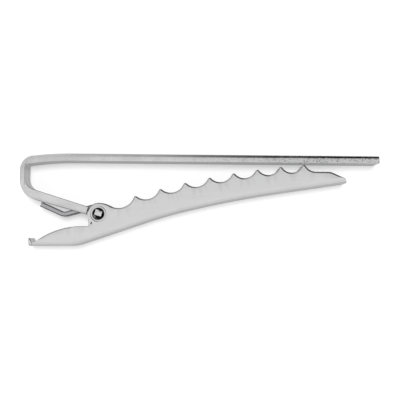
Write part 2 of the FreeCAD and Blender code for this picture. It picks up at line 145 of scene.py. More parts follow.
def oval(wide: float, high: float, steps: int) -> list[Spot]:
    """Spots round an oval about the origin, by its half sizes."""
    angles = [math.tau * step / steps for step in range(steps)]
    return [(wide * math.cos(angle), high * math.sin(angle)) for angle in angles]


def arc(middle: Spot, start: Spot, end: Spot, clockwise: bool, steps: int) -> list[Spot]:
    """Spots along a round after its start, up to and with its end.

    Args:
        middle: Middle of the round.
        start: Spot where the round starts.
        end: Spot where it ends.
        clockwise: Whether it turns to the right.
        steps: Number of spots.

    Returns:
        The spots in order.
    """
    radius = math.dist(start, middle)
    first = math.atan2(start[1] - middle[1], start[0] - middle[0])
    last = math.atan2(end[1] - middle[1], end[0] - middle[0])
    sweep = (first - last) % math.tau if clockwise else (last - first) % math.tau
    sign = -1.0 if clockwise else 1.0
    angles = [first + sign * sweep * step / steps for step in range(1, steps + 1)]
    return [on_round(middle, radius, angle) for angle in angles]


def arc_of_radius(start: Spot, end: Spot, radius: float, steps: int) -> list[Spot]:
    """Spots along a clockwise round of a given radius between two spots, after the start.

    Args:
        start: Spot where the round starts.
        end: Spot where it ends.
        radius: Radius of the round.
        steps: Number of spots.

    Returns:
        The spots in order.
    """
    way = heading(start, end)
    half = math.dist(start, end) / 2
    middle = ahead(ahead(start, way, half), (way[1], -way[0]), math.sqrt(radius**2 - half**2))
    return arc(middle, start, end, True, steps)


def corner_round(before: Spot, corner: Spot, after: Spot, radius: float, steps: int) -> list[Spot]:
    """Spots of the round that takes off a corner, both ends included.

    Args:
        before: Any spot on the straight that leads to the corner.
        corner: The corner.
        after: Any spot on the straight that leaves it.
        radius: Radius of the round.
        steps: Number of spots after the first.

    Returns:
        The spots in order.
    """
    back = heading(corner, before)
    on = heading(corner, after)
    half = math.acos(back[0] * on[0] + back[1] * on[1]) / 2
    start, end = (ahead(corner, way, radius / math.tan(half)) for way in (back, on))
    middle = ahead(corner, unit((back[0] + on[0], back[1] + on[1])), radius / math.sin(half))
    clockwise = back[1] * on[0] < back[0] * on[1]
    return [start, *arc(middle, start, end, clockwise, steps)]


def touching(
    first: Spot, first_radius: float, second: Spot, second_radius: float, radius: float
) -> Spot:
    """Middle of a round that rests on two others from above.

    Args:
        first: Middle of the left round.
        first_radius: Its radius.
        second: Middle of the right round.
        second_radius: Its radius.
        radius: Radius of the round that rests on them.

    Returns:
        The middle of the resting round.
    """
    way = heading(first, second)
    span = math.dist(first, second)
    to_first = first_radius + radius
    along = (span**2 + to_first**2 - (second_radius + radius) ** 2) / (2 * span)
    return ahead(ahead(first, way, along), (-way[1], way[0]), math.sqrt(to_first**2 - along**2))


def mitres(outline: Sequence[Spot]) -> list[Spot]:
    """Offsets at an open outline's spots that move it one unit to its right.

    Args:
        outline: Spots in order.

    Returns:
        One offset for each spot.
    """
    offsets: list[Spot] = []
    last = len(outline) - 1
    for index in range(len(outline)):
        into = heading(outline[max(index - 1, 0)], outline[max(index, 1)])
        away = heading(outline[min(index, last - 1)], outline[min(index + 1, last)])
        middle = unit((into[0] + away[0], into[1] + away[1]))
        stretch = 1 / max(1 / MITRE_LIMIT, middle[0] * away[0] + middle[1] * away[1])
        offsets.append((middle[1] * stretch, -middle[0] * stretch))
    return offsets


def add_object(name: str, data: bpy.types.ID) -> bpy.types.Object:
    """Add an object to the scene.

    Args:
        name: Name of the object.
        data: Its mesh, lamp or camera.

    Returns:
        The object.
    """
    made = bpy.data.objects.new(name, data)
    bpy.context.scene.collection.objects.link(made)
    return made


@contextmanager
def reshaping(mesh: bpy.types.Mesh) -> Iterator[bmesh.types.BMesh]:
    """Open a mesh for changes and write it back afterwards.

    Args:
        mesh: Mesh to change.

    Yields:
        The open mesh.
    """
    shape = bmesh.new()
    try:
        shape.from_mesh(mesh)
        yield shape
        shape.to_mesh(mesh)
    finally:
        shape.free()


class Draft:
    """Vertices and faces of a mesh in the making, in millimetres about the pivot axis."""

    def __init__(self, tilt: float = 0.0) -> None:
        """Start an empty draft.

        Args:
            tilt: Angle in degrees by which its spots are turned.
        """
        self.tilt = tilt
        self.spots: list[tuple[float, float, float]] = []
        self.painted_edge_shade: list[float] = []
        self.faces: list[Sequence[int]] = []

    def vertex(self, spot: Spot, height: float, painted_edge_shade: float = 0.0) -> int:
        """Add a vertex.

        Args:
            spot: Its place, seen along the pivot axis.
            height: Its height above the mid-plane.
            painted_edge_shade: Share of painted shade at it, on rolled edges and in a pressed
                groove, from 0 to 1.

        Returns:
            Its number.
        """
        self.spots.append((*turned(spot, self.tilt), height))
        self.painted_edge_shade.append(painted_edge_shade)
        return len(self.spots) - 1

    def loop(self, spots: Sequence[Spot], height: float) -> list[int]:
        """Add a vertex for each spot at one height, and give their numbers."""
        return [self.vertex(spot, height) for spot in spots]

    def bridge(self, first: Sequence[int], second: Sequence[int], closed: bool = False) -> None:
        """Join two rows of vertices with four-sided faces.

        Args:
            first: Numbers of the vertices of one row.
            second: As many numbers of the other.
            closed: Whether the rows' ends are joined too.
        """
        count = len(first)
        for index in range(count if closed else count - 1):
            following = (index + 1) % count
            self.faces.append((first[index], first[following], second[following], second[index]))

    def bridge_all(self, rows: Sequence[Sequence[int]], closed: bool = False) -> None:
        """Join each row of vertices with the next one."""
        for row, following in pairwise(rows):
            self.bridge(row, following, closed)

    def fill(self, rim: Sequence[int], openings: Sequence[Sequence[int]]) -> None:
        """Fill a flat rim of vertices, leaving its openings free.

        Args:
            rim: Numbers of the vertices round the outside.
            openings: Numbers of the vertices round each opening.
        """
        rings = (rim, *openings)
        numbers = [number for ring in rings for number in ring]
        outlines = [[Vector(self.spots[number][:2]) for number in ring] for ring in rings]
        flat = [spot for outline in outlines for spot in outline]
        edges: list[tuple[int, int]] = []
        for ring in rings:
            count, start = len(ring), len(edges)
            edges += [(start + index, start + (index + 1) % count) for index in range(count)]
        spots, _, faces, sources, *_ = geometry.delaunay_2d_cdt(flat, edges, [], 0, SAME_SPOT)
        for face in faces:
            heart = sum((spots[corner] for corner in face), Vector((0, 0))) / len(face)
            in_rim, *in_openings = (inside(heart, outline) for outline in outlines)
            if in_rim and not any(in_openings):
                self.faces.append([numbers[sources[corner][0]] for corner in face])

    def build(self, name: str, merge: float = 1e-4) -> bpy.types.Object:
        """Turn the draft into an object in place, with its faces turned outwards.

        Args:
            name: Name of the object.
            merge: Distance below which vertices are joined, in millimetres.

        Returns:
            The object, in metres in the clip's frame.
        """
        mesh = bpy.data.meshes.new(name)
        mesh.from_pydata([(Vector(spot) + PIVOT) * MM for spot in self.spots], [], self.faces)
        mesh.attributes.new(PAINTED_EDGE_SHADE, "FLOAT", "POINT").data.foreach_set("value", self.painted_edge_shade)
        with reshaping(mesh) as shape:
            bmesh.ops.remove_doubles(shape, verts=shape.verts, dist=merge * MM)
            bmesh.ops.dissolve_degenerate(shape, edges=shape.edges, dist=merge * MM)
            bmesh.ops.recalc_face_normals(shape, faces=shape.faces)
        return add_object(name, mesh)


def inside(spot: Vector, rim: Sequence[Vector]) -> bool:
    """Tell whether a spot lies inside a closed outline.

    Args:
        spot: The spot.
        rim: Spots of the outline in order.

    Returns:
        True if it lies inside.
    """
    crossed = False
    for first, second in zip(rim, [*rim[1:], rim[0]]):
        if (first.y > spot.y) != (second.y > spot.y):
            lean = (second.x - first.x) / (second.y - first.y)
            crossed ^= first.x + (spot.y - first.y) * lean > spot.x
    return crossed


def settle(piece: bpy.types.Object, sharp_from: float = 32.0) -> None:
    """Shade a piece smooth up to an angle and keep its flat faces flat.

    Args:
        piece: Object to finish.
        sharp_from: Angle in degrees from which an edge stays sharp.
    """
    piece.data.shade_smooth()
    piece.data.set_sharp_from_angle(angle=math.radians(sharp_from))
    weighting = piece.modifiers.new("flat_faces", "WEIGHTED_NORMAL")
    weighting.keep_sharp = True
    weighting.weight = FLAT_WEIGHT
    bake_modifiers(piece)


def bake_modifiers(piece: bpy.types.Object) -> None:
    """Replace a piece's mesh by what its modifiers make of it.

    Args:
        piece: Object whose modifiers are used up.
    """
    graph = bpy.context.evaluated_depsgraph_get()
    made = bpy.data.meshes.new_from_object(
        piece.evaluated_get(graph), preserve_all_data_layers=True, depsgraph=graph
    )
    piece.modifiers.clear()
    old = piece.data
    piece.data = made
    made.name = piece.name
    bpy.data.meshes.remove(old)


def soften(
    piece: bpy.types.Object,
    width: float,
    segments: int,
    angle: float,
    share: Callable[[bmesh.types.BMEdge], float] = lambda edge: 1.0,
    profile: float = 0.5,
) -> None:
    """Round the edges of a piece that are sharper than an angle.

    Args:
        piece: Object to round.
        width: Width of the round in millimetres.
        segments: Number of faces across it.
        angle: Angle in degrees.
        share: Share of the width that an edge gets, all of it if left out.
        profile: Fullness of the round, 0.5 for an arc and 0.25 for a flat.
    """
    with reshaping(piece.data) as shape:
        weights = shape.edges.layers.float.new("bevel_weight_edge")
        for edge in shape.edges:
            if len(edge.link_faces) == 2 and edge.calc_face_angle() > math.radians(angle):
                edge[weights] = share(edge)
    bevel = piece.modifiers.new("rounded_edges", "BEVEL")
    bevel.width = width * MM
    bevel.segments = segments
    bevel.profile = profile
    bevel.limit_method = "WEIGHT"
    bevel.use_clamp_overlap = False
    bevel.miter_outer = "MITER_ARC"
    bake_modifiers(piece)


class Wire:
    """Output of a node that takes part in arithmetic, each step adding a Math node."""

    def __init__(self, graph: "Graph", socket: bpy.types.NodeSocket) -> None:
        """Wrap a socket of a graph."""
        self.graph = graph
        self.socket = socket

    def _math(self, operation: str, first: "Wire | float", second: "Wire | float") -> "Wire":
        """Add a Math node for two values."""
        return self.graph.node("ShaderNodeMath", {0: first, 1: second}, {"operation": operation})

    def __add__(self, other: "Wire | float") -> "Wire":
        """Sum."""
        return self._math("ADD", self, other)

    __radd__ = __add__

    def __sub__(self, other: "Wire | float") -> "Wire":
        """Difference."""
        return self._math("SUBTRACT", self, other)

    def __rsub__(self, other: float) -> "Wire":
        """Difference from a number."""
        return self._math("SUBTRACT", other, self)

    def __mul__(self, other: "Wire | float") -> "Wire":
        """Product."""
        return self._math("MULTIPLY", self, other)

    __rmul__ = __mul__

    def __or__(self, other: "Wire | float") -> "Wire":
        """Larger of two values."""
        return self._math("MAXIMUM", self, other)

    def __abs__(self) -> "Wire":
        """Size without its sign."""
        return self._math("ABSOLUTE", self, 0.0)

    def between(self, low: float, high: float) -> "Wire":
        """Take a smooth step from 0 to 1.

        Args:
            low: Value where the step starts.
            high: Value where it ends.

        Returns:
            The step.
        """
        return self.graph.node(
            "ShaderNodeMapRange",
            {"Value": self, "From Min": low, "From Max": high},
            {"interpolation_type": "SMOOTHSTEP"},
        )

    def before(self, low: float, high: float) -> "Wire":
        """Smooth step from 1 at one value to 0 at another."""
        return 1.0 - self.between(low, high)

    def band(self, rise: Reach, fall: Reach) -> "Wire":
        """One from the end of a smooth rise to the start of a smooth fall."""
        return self.between(*rise) * self.before(*fall)


class Graph:
    """Node tree that is filled from Python expressions."""

    def __init__(self, tree: bpy.types.NodeTree) -> None:
        """Start from an empty tree."""
        self.tree = tree
        tree.nodes.clear()

    @classmethod
    def of(cls, block: bpy.types.Material | bpy.types.World) -> "Graph":
        """Start the node tree of a material or a world."""
        block.use_nodes = True
        return cls(block.node_tree)

    def node(
        self,
        kind: str,
        sockets: dict[str | int, Any] | None = None,
        settings: dict[str, Any] | None = None,
        output: str | int = 0,
    ) -> Wire:
        """Add a node of any type.

        Args:
            kind: The node's type.
            sockets: Values or wires of its inputs by name or number.
            settings: Settings of the node by name, which are set first.
            output: Name or number of the output that is wanted.

        Returns:
            The wanted output, or an empty wire for a node with none.
        """
        made = self.tree.nodes.new(kind)
        for name, setting in (settings or {}).items():
            setattr(made, name, setting)
        for name, given in (sockets or {}).items():
            if isinstance(given, Wire):
                self.tree.links.new(given.socket, made.inputs[name])
            else:
                made.inputs[name].default_value = given
        return Wire(self, made.outputs[output] if len(made.outputs) else None)

    def outputs(self, wire: Wire, names: Sequence[str]) -> list[Wire]:
        """Several named outputs of the node that a wire comes from."""
        return [Wire(self, wire.socket.node.outputs[name]) for name in names]

    def axes(self, vector: Wire) -> list[Wire]:
        """Split a vector into its values along X, Y and Z."""
        return self.outputs(self.node("ShaderNodeSeparateXYZ", {"Vector": vector}), "XYZ")


@dataclass(frozen=True)
class DarkSpot:
    """Round spot of painted shade that lies below the clip's sides, in millimetres about the pivot
    axis.
    """

    middle: Spot
    radius: float
    depth: Reach
    spread: float = 1.12

    def share(self, place: Sequence[Wire]) -> Wire:
        """Find where the painted shade lies.

        Args:
            place: Millimetres along each axis from the pivot.

        Returns:
            One within the spot and below its depth, and zero elsewhere.
        """
        across, along = place[0] - self.middle[0], place[1] - self.middle[1]
        reach = across * across + along * along
        inner, outer = self.radius**2, (self.radius * self.spread) ** 2
        return reach.before(inner, outer) * abs(place[2]).before(*self.depth)


@dataclass(frozen=True)
class MetalFinish:
    """Bright metal with mottling, a fine grain, drawn streaks, specks, haze and painted shade at
    gaps and edges.

    A noise is given by its scale and detail, and a step by the values where it starts and ends.
    """

    name: str
    colour: Colour
    shade: Colour
    roughness: float
    haze: float
    grain: float
    streaks: float
    streak_turn: float = 0.0
    # Strength of the painted shade on rolled edges.
    edge_shade_strength: float = 0.0
    specks: float = 0.0
    # Dark colour and roughness shared by the specks and the painted shade.
    dirt_and_shade: Colour = (0.03, 0.03, 0.032)
    dirt_and_shade_roughness: float = 0.6
    mottle_noise: tuple[float, float] = (420.0, 4.0)
    grain_noise: tuple[float, float] = (7000.0, 2.0)
    speck_noise: tuple[float, float] = (5200.0, 1.0)
    streak_noise: tuple[float, float] = (1500.0, 3.0)
    streak_stretch: tuple[float, float, float] = (0.06, 1.0, 1.0)
    tint_steps: tuple[Reach, Reach, Reach] = ((0.35, 0.68), (0.3, 0.7), (0.3, 0.6))
    tint_shares: tuple[float, float, float] = (0.45, 0.25, 0.3)
    haze_step: Reach = (0.45, 0.7)
    grain_step: Reach = (0.3, 0.7)
    speck_step: Reach = (0.5, 0.74)
    grain_relief: Reach = (0.2, 0.8)
    streak_relief: Reach = (0.25, 0.75)
    relief_strength: float = 0.35
    relief_height: float = 0.02
    # Painted shade in the deep gap round the lugs and inside the punch mark.
    lug_gap: DarkSpot = DarkSpot((0.0, 0.0), 0.84, (2.50, 2.68))
    punch_mark: DarkSpot = DarkSpot((-1.18, -1.28), 0.45, (2.21, 2.27))

    @staticmethod
    def mix(graph: Graph, share: Wire, first: Wire | Colour, second: Wire | Colour) -> Wire:
        """Blend two colours.

        Args:
            graph: Node tree of the material.
            share: Share of the second colour.
            first: Colour at a share of 0.
            second: Colour at a share of 1.

        Returns:
            The blend.
        """
        ends = [end if isinstance(end, Wire) else (*end, 1.0) for end in (first, second)]
        sockets = {0: share, 6: ends[0], 7: ends[1]}
        return graph.node("ShaderNodeMix", sockets, {"data_type": "RGBA"}, output=2)

    def dark(self, graph: Graph, place: Sequence[Wire]) -> Wire:
        """Share of painted shade: in the gap round the lugs, in the punch mark and on rolled cut
        edges.

        Args:
            graph: Node tree of the material.
            place: Millimetres along each axis from the pivot.

        Returns:
            The share, from 0 to 1.
        """
        # Painted shade on rolled edges and in the pressed ring's groove, from the vertex share.
        name = {"attribute_name": PAINTED_EDGE_SHADE}
        edge = graph.node("ShaderNodeAttribute", settings=name, output="Fac")
        return self.lug_gap.share(place) | self.punch_mark.share(place) | edge * self.edge_shade_strength

    def specked(self, speck: Wire, place: Sequence[Wire]) -> Wire:
        """Share of dark specks, the same at every place."""
        return speck * self.specks

    def material(self) -> bpy.types.Material:
        """Make the finish as a material.

        Returns:
            The material.
        """
        metal = bpy.data.materials.new(self.name)
        graph = Graph.of(metal)
        spot = graph.node("ShaderNodeTexCoord", output="Object")
        turn = (0.0, 0.0, math.radians(self.streak_turn))
        mapping = {"Vector": spot, "Rotation": turn, "Scale": self.streak_stretch}
        drawn = graph.node("ShaderNodeMapping", mapping)
        mottle, grain, speck, streak = (
            graph.node("ShaderNodeTexNoise", {"Vector": vector, "Scale": scale, "Detail": detail})
            for vector, (scale, detail) in (
                (spot, self.mottle_noise),
                (spot, self.grain_noise),
                (spot, self.speck_noise),
                (drawn, self.streak_noise),
            )
        )
        place = [axis * (1 / MM) - middle for axis, middle in zip(graph.axes(spot), PIVOT)]
        tints = zip((mottle, streak, grain), self.tint_steps, self.tint_shares)
        tint = sum(noise.between(*step) * share for noise, step, share in tints)
        clean = self.mix(graph, tint, self.shade, self.colour)
        # Dark specks and painted shade blend towards one dark colour.
        dirt_and_shade = self.dark(graph, place) | self.specked(speck.between(*self.speck_step), place)
        haze = mottle.between(*self.haze_step) * self.haze
        polish = self.roughness + haze + grain.between(*self.grain_step) * self.grain
        relief = grain.between(*self.grain_relief) * self.grain
        relief = relief + streak.between(*self.streak_relief) * self.streaks
        height = self.relief_height * MM
        bump = graph.node(
            "ShaderNodeBump",
            {"Strength": self.relief_strength, "Distance": height, "Height": relief},
        )
        shader = graph.node(
            "ShaderNodeBsdfPrincipled",
            {
                "Base Color": self.mix(graph, dirt_and_shade, clean, self.dirt_and_shade),
                "Metallic": 1.0,
                "Roughness": polish + dirt_and_shade * self.dirt_and_shade_roughness,
                "Normal": bump,
            },
        )
        graph.node("ShaderNodeOutputMaterial", {"Surface": shader})
        return metal


@dataclass(frozen=True)
class StripFinish(MetalFinish):
    """Metal of the strip, with painted shade lines along arm and bend and more specks towards the
    free end.

    Lengths are in millimetres from the pivot, along the arm's slope for those of the arm.
    """

    arm_slope: float = ARM_SLOPE
    arm_ends: tuple[Reach, Reach] = ((1.6, 1.7), (8.0, 10.0))
    arm_edge: Reach = (0.42, 0.52)
    arm_level: Reach = (2.3, 2.5)
    # Painted shade along the arm's lower edge, over the crevice by the spring.
    arm_shade: float = 0.62
    bend_edges: tuple[Reach, Reach] = ((-10.42, -10.32), (-10.27, -10.22))
    bend_ends: tuple[Reach, Reach] = ((3.6, 4.2), (6.3, 6.9))
    wall_edge: Reach = (-10.93, -10.79)
    bend_level: Reach = (2.6, 2.7)
    # Painted shade along both edges of the bend's wall.
    bend_shade: float = 0.3
    speck_gain: float = 1.7
    speck_base: float = 0.2
    speck_rise: Reach = (8.0, 30.0)
    speck_level: Reach = (2.2, 2.6)
    face_specks: float = 0.1

    def dark(self, graph: Graph, place: Sequence[Wire]) -> Wire:
        """Share of painted shade, with lines along the arm's lower edges and both edges of the
        bend's wall.

        Args:
            graph: Node tree of the material.
            place: Millimetres along each axis from the pivot.

        Returns:
            The share, from 0 to 1.
        """
        x, y, level = place[0], place[1], abs(place[2])
        cosine, sine = turned((1.0, 0.0), self.arm_slope)
        below = x * -sine - y * cosine
        # Painted shade lines: the arm's lower edge and both edges of the bend's wall.
        arm = (y * sine - x * cosine).band(*self.arm_ends) * below.between(*self.arm_edge)
        bend = x.band(*self.bend_edges) * y.band(*self.bend_ends) | x.before(*self.wall_edge)
        lines = arm * level.between(*self.arm_level) * self.arm_shade
        lines = lines | bend * level.between(*self.bend_level) * self.bend_shade
        return super().dark(graph, place) | lines

    def specked(self, speck: Wire, place: Sequence[Wire]) -> Wire:
        """Share of dark specks, few on the broad faces and most on the free end's cut edges.

        Args:
            speck: Speck pattern, from 0 to 1.
            place: Millimetres along each axis from the pivot.

        Returns:
            The share, from 0 to 1.
        """
        cut = place[0].between(*self.speck_rise) * abs(place[2]).between(*self.speck_level)
        spread = self.face_specks + (1.0 - self.face_specks) * cut
        return (speck * self.speck_gain + self.speck_base) * self.specks * spread


STRIP_PLATE = StripFinish(
    "strip_plate", (0.91, 0.91, 0.92), (0.72, 0.72, 0.73),
    roughness=0.06, haze=0.05, grain=0.04, streaks=0.5, specks=0.36,
)
JAW_PLATE = MetalFinish(
    "jaw_plate", (0.87, 0.87, 0.88), (0.81, 0.81, 0.82),
    roughness=0.12, haze=0.06, grain=0.05, streaks=0.25, streak_turn=-13.9, edge_shade_strength=0.6,
)
SPRING_STEEL = MetalFinish(
    "spring_steel", (0.60, 0.60, 0.62), (0.50, 0.50, 0.52),
    roughness=0.18, haze=0.12, grain=0.10, streaks=0.6, streak_turn=20.0, edge_shade_strength=0.75,
)


def dress(piece: bpy.types.Object, finish: MetalFinish) -> None:
    """Give a piece its finish as its only material.

    Args:
        piece: Object to dress.
        finish: Its finish.
    """
    piece.data.materials.clear()
    piece.data.materials.append(finish.material())


def is_level(edge: bmesh.types.BMEdge) -> bool:
    """Whether an edge lies at one height above the table."""
    return abs(edge.verts[0].co.z - edge.verts[1].co.z) < LEVEL_WITHIN


def join_flat_strips(piece: bpy.types.Object) -> None:
    """Dissolve the lengthwise edges that lie inside a piece's faces.

    Args:
        piece: Object to simplify.
    """
    with reshaping(piece.data) as shape:
        inner = [
            edge for edge in shape.edges
            if is_level(edge) and len(edge.link_faces) == 2 and edge.calc_face_angle() < FLAT_WITHIN
        ]
        bmesh.ops.dissolve_edges(shape, edges=inner, use_verts=True, use_face_split=False)


@dataclass
class FrontBar:
    """Bent strip: front bar, bend, arm, windowed tongue and two lugs. Sizes in millimetres."""

    length: float = 50.0
    width: float = 5.6
    thickness: float = 1.0
    setback: float = 10.95
    drop: float = 8.35
    droop_reach: float = 7.25
    droop_radius: float = 43.6
    bend_thickness: float = 0.68
    corner_outside: tuple[float, float] = (1.95, 2.8)
    corner_inside: tuple[float, float] = (0.3, 1.67)
    arm_slope: float = ARM_SLOPE
    arm_taper: float = 1.78
    arm_above: float = 0.387
    arm_below: float = 0.68
    lug_width: float = 1.0
    lug_thickness: float = 0.82
    lug_rise: float = 0.124
    lug_span: float = 5.4
    tongue_width: float = 4.2
    shoulder: float = 1.59
    window_reach: float = 4.7
    window_width: float = 2.9
    edge_round: float = 0.34
    bend_round: float = 0.5
    tongue_round: float = 0.035
    small_round: float = 0.07
    tongue_reach: float = 1.99
    roll_reach: float = 1.49
    roll_profile: float = 0.34
    roll_segments: int = 6
    roll_angle: float = 40.0
    roll_flatness: float = 0.5
    wall_flatness: float = 0.14
    wall_reach: float = 2.6
    droop_run: float = 0.6
    droop_steps: int = 12
    corner_steps: int = 10
    wall_steps: int = 3
    arm_steps: int = 4
    window_steps: int = 3
    tongue_steps: int = 2
    lug_steps: int = 1

    def on_arm(self, along: float, below: float) -> Spot:
        """Spot on the arm, by its distance from the lugs and below the arm's middle."""
        return ahead(turned((-along, -below), -self.arm_slope), (0.0, 1.0), self.lug_rise)

    def arm_face(self, along: float, side: float) -> Spot:
        """Spot on one of the arm's faces, the upper of which rises towards the bend.

        Args:
            along: Distance from the lugs.
            side: -1 for the upper face and 1 for the lower.

        Returns:
            The spot.
        """
        if side > 0:
            return self.on_arm(along, self.arm_below)
        rise = math.tan(math.radians(self.arm_taper)) * (along - self.lug_width / 2)
        return self.on_arm(along, -self.arm_above - rise)

    def droop(self, x: float, depth: float) -> Spot:
        """Spot on the bar's drooping end.

        Args:
            x: Place along the bar.
            depth: Depth below the bar's outer face.

        Returns:
            The spot.
        """
        middle = self.droop_reach - self.setback
        radius = self.droop_radius - depth
        return x, self.drop - self.droop_radius + math.sqrt(radius**2 - (x - middle) ** 2)

    def face(self, depth: float, wall: float, radii: Reach, side: float) -> list[Spot]:
        """Spots along one face of the strip, from the bar's free end to the tongue's shoulder.

        Args:
            depth: Depth of the face below the bar's outer face.
            wall: Place of the bend's upright wall along the bar.
            radii: Radii of the bend's upper and lower corner.
            side: Side of the arm that the face leads to, -1 for the upper face and 1 for the lower.

        Returns:
            The spots; both faces have as many.
        """
        start = (self.length - self.setback, self.drop - depth)
        droop_start = (self.droop_reach - self.setback, self.drop - depth)
        top = self.droop(wall, depth)
        slope = math.radians(self.arm_slope if side > 0 else self.arm_slope + self.arm_taper)
        near = self.arm_face(self.lug_width / 2, side)
        low = (wall, near[1] + (near[0] - wall) * math.tan(slope))
        before = self.droop(wall + self.droop_run, depth)
        upper = corner_round(before, top, low, radii[0], self.corner_steps)
        lower = corner_round(top, low, near, radii[1], self.corner_steps)
        droop = run(droop_start, upper[0], self.droop_steps)[:-1]
        window_end = self.arm_face(self.window_reach, side)
        return [
            start,
            droop_start,
            *(self.droop(x, depth) for x, _ in droop),
            *upper,
            *run(upper[-1], lower[0], self.wall_steps),
            *lower[1:],
            *run(lower[-1], window_end, self.arm_steps),
            *run(window_end, self.arm_face(self.shoulder, side), self.window_steps),
        ]

    def stations(self) -> tuple[list[Spot], list[Spot], list[Stretch]]:
        """Outer and inner spots along the strip, and the stretch before each.

        Returns:
            Spots of the outer face, spots of the inner face and stretches.
        """
        wall = -self.setback
        outer = self.face(0.0, wall, self.corner_outside, 1.0)
        inner = self.face(self.thickness, wall + self.bend_thickness, self.corner_inside, -1.0)
        stretches = [Stretch.BAR] * len(outer)
        stretches[-self.window_steps :] = [Stretch.WINDOW] * self.window_steps
        half = self.lug_width / 2
        for stretch, along, steps in (
            (Stretch.TONGUE, half, self.tongue_steps),
            (Stretch.LUG, -half, self.lug_steps),
        ):
            outer += run(outer[-1], self.on_arm(along, self.lug_thickness / 2), steps)
            inner += run(inner[-1], self.on_arm(along, -self.lug_thickness / 2), steps)
            stretches += [stretch] * steps
        return outer, inner, stretches

    def flatten_roll(self, piece: bpy.types.Object) -> None:
        """Make the rolled edges shallower than they are wide, most beside the bend's wall.

        Args:
            piece: The strip.
        """
        side = self.width / 2
        for vertex in piece.data.vertices:
            x, y, z = vertex.co / MM - PIVOT
            inset = side - abs(z)
            if math.hypot(x, y) > self.roll_reach and inset < self.bend_round + NEAR:
                away = min(1.0, (x + self.setback) / self.wall_reach)
                flatness = self.wall_flatness + (self.roll_flatness - self.wall_flatness) * away
                vertex.co.z = (PIVOT.z + math.copysign(side - inset * flatness, z)) * MM

    def skin(self, outer: list[Spot], inner: list[Spot], stretches: list[Stretch]) -> Draft:
        """Draft of the strip with sharp edges, a cell of its plan at a time.

        Args:
            outer: Spots along the outer face.
            inner: Spots along the inner face.
            stretches: Stretch before each spot.

        Returns:
            The closed draft.
        """
        spans = {
            Stretch.BAR: (0.0, self.width / 2),
            Stretch.WINDOW: (self.window_width / 2, self.width / 2),
            Stretch.TONGUE: (self.window_width / 2, self.tongue_width / 2),
            Stretch.LUG: (0.0, self.lug_span / 2),
        }
        levels = sorted({edge for span in spans.values() for edge in span})
        heights = [-level for level in reversed(levels) if level > 0] + levels
        draft = Draft()
        grid = [[draft.loop(face, height) for height in heights] for face in (outer, inner)]

        def filled(station: int, row: int) -> bool:
            """Tell whether the strip has metal in a cell of its plan.

            Args:
                station: Number of the spot along the strip that ends the cell.
                row: Number of the height that starts it.

            Returns:
                True if it has.
            """
            if not (0 < station < len(outer) and 0 <= row < len(heights) - 1):
                return False
            low, high = spans[stretches[station]]
            return low <= abs(heights[row] + heights[row + 1]) / 2 <= high

        for station, row in product(range(1, len(outer)), range(len(heights) - 1)):
            if not filled(station, row):
                continue
            top, under = (
                [face[row + up][station - back] for back, up in ((1, 0), (0, 0), (0, 1), (1, 1))]
                for face in grid
            )
            draft.faces += [top, under]
            for index, (ahead_by, above_by) in enumerate(((0, -1), (1, 0), (0, 1), (-1, 0))):
                if not filled(station + ahead_by, row + above_by):
                    ends = (index, (index + 1) % len(top))
                    draft.bridge(*([face[end] for end in ends] for face in (top, under)))
        return draft

    def roll_width(self, edge: bmesh.types.BMEdge, face: Sequence[Spot]) -> float:
        """Width of an edge's round: widest round the bend and along the arm, less along the bar.

        Args:
            edge: Edge of the strip.
            face: Spots along the outer face up to the tongue.

        Returns:
            The width, a small one for an edge that doesn't run along the outer face.
        """
        spots = [(vertex.co.x / MM - PIVOT.x, vertex.co.y / MM - PIVOT.y) for vertex in edge.verts]
        if all(math.hypot(*spot) < self.tongue_reach for spot in spots):
            return self.tongue_round
        on_face = all(min(math.dist(spot, other) for other in face) < NEAR for spot in spots)
        if not (is_level(edge) and on_face and math.dist(*spots) > NEAR):
            return self.small_round
        straight = min(spot[0] for spot in spots) > self.droop_reach - self.setback - NEAR
        return self.edge_round if straight else self.bend_round

    def build(self) -> bpy.types.Object:
        """Make the strip as one closed mesh with rounded edges.

        Returns:
            The finished object.
        """
        outer, inner, stretches = self.stations()
        piece = self.skin(outer, inner, stretches).build("front_bar_strip")
        join_flat_strips(piece)
        face = outer[: stretches.index(Stretch.TONGUE)]
        soften(
            piece, self.bend_round, self.roll_segments, self.roll_angle,
            lambda edge: self.roll_width(edge, face) / self.bend_round, self.roll_profile,
        )
        self.flatten_roll(piece)
        settle(piece)
        dress(piece, STRIP_PLATE)
        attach(piece, Body.STRIP.value)
        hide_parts("front_bar")
        return piece


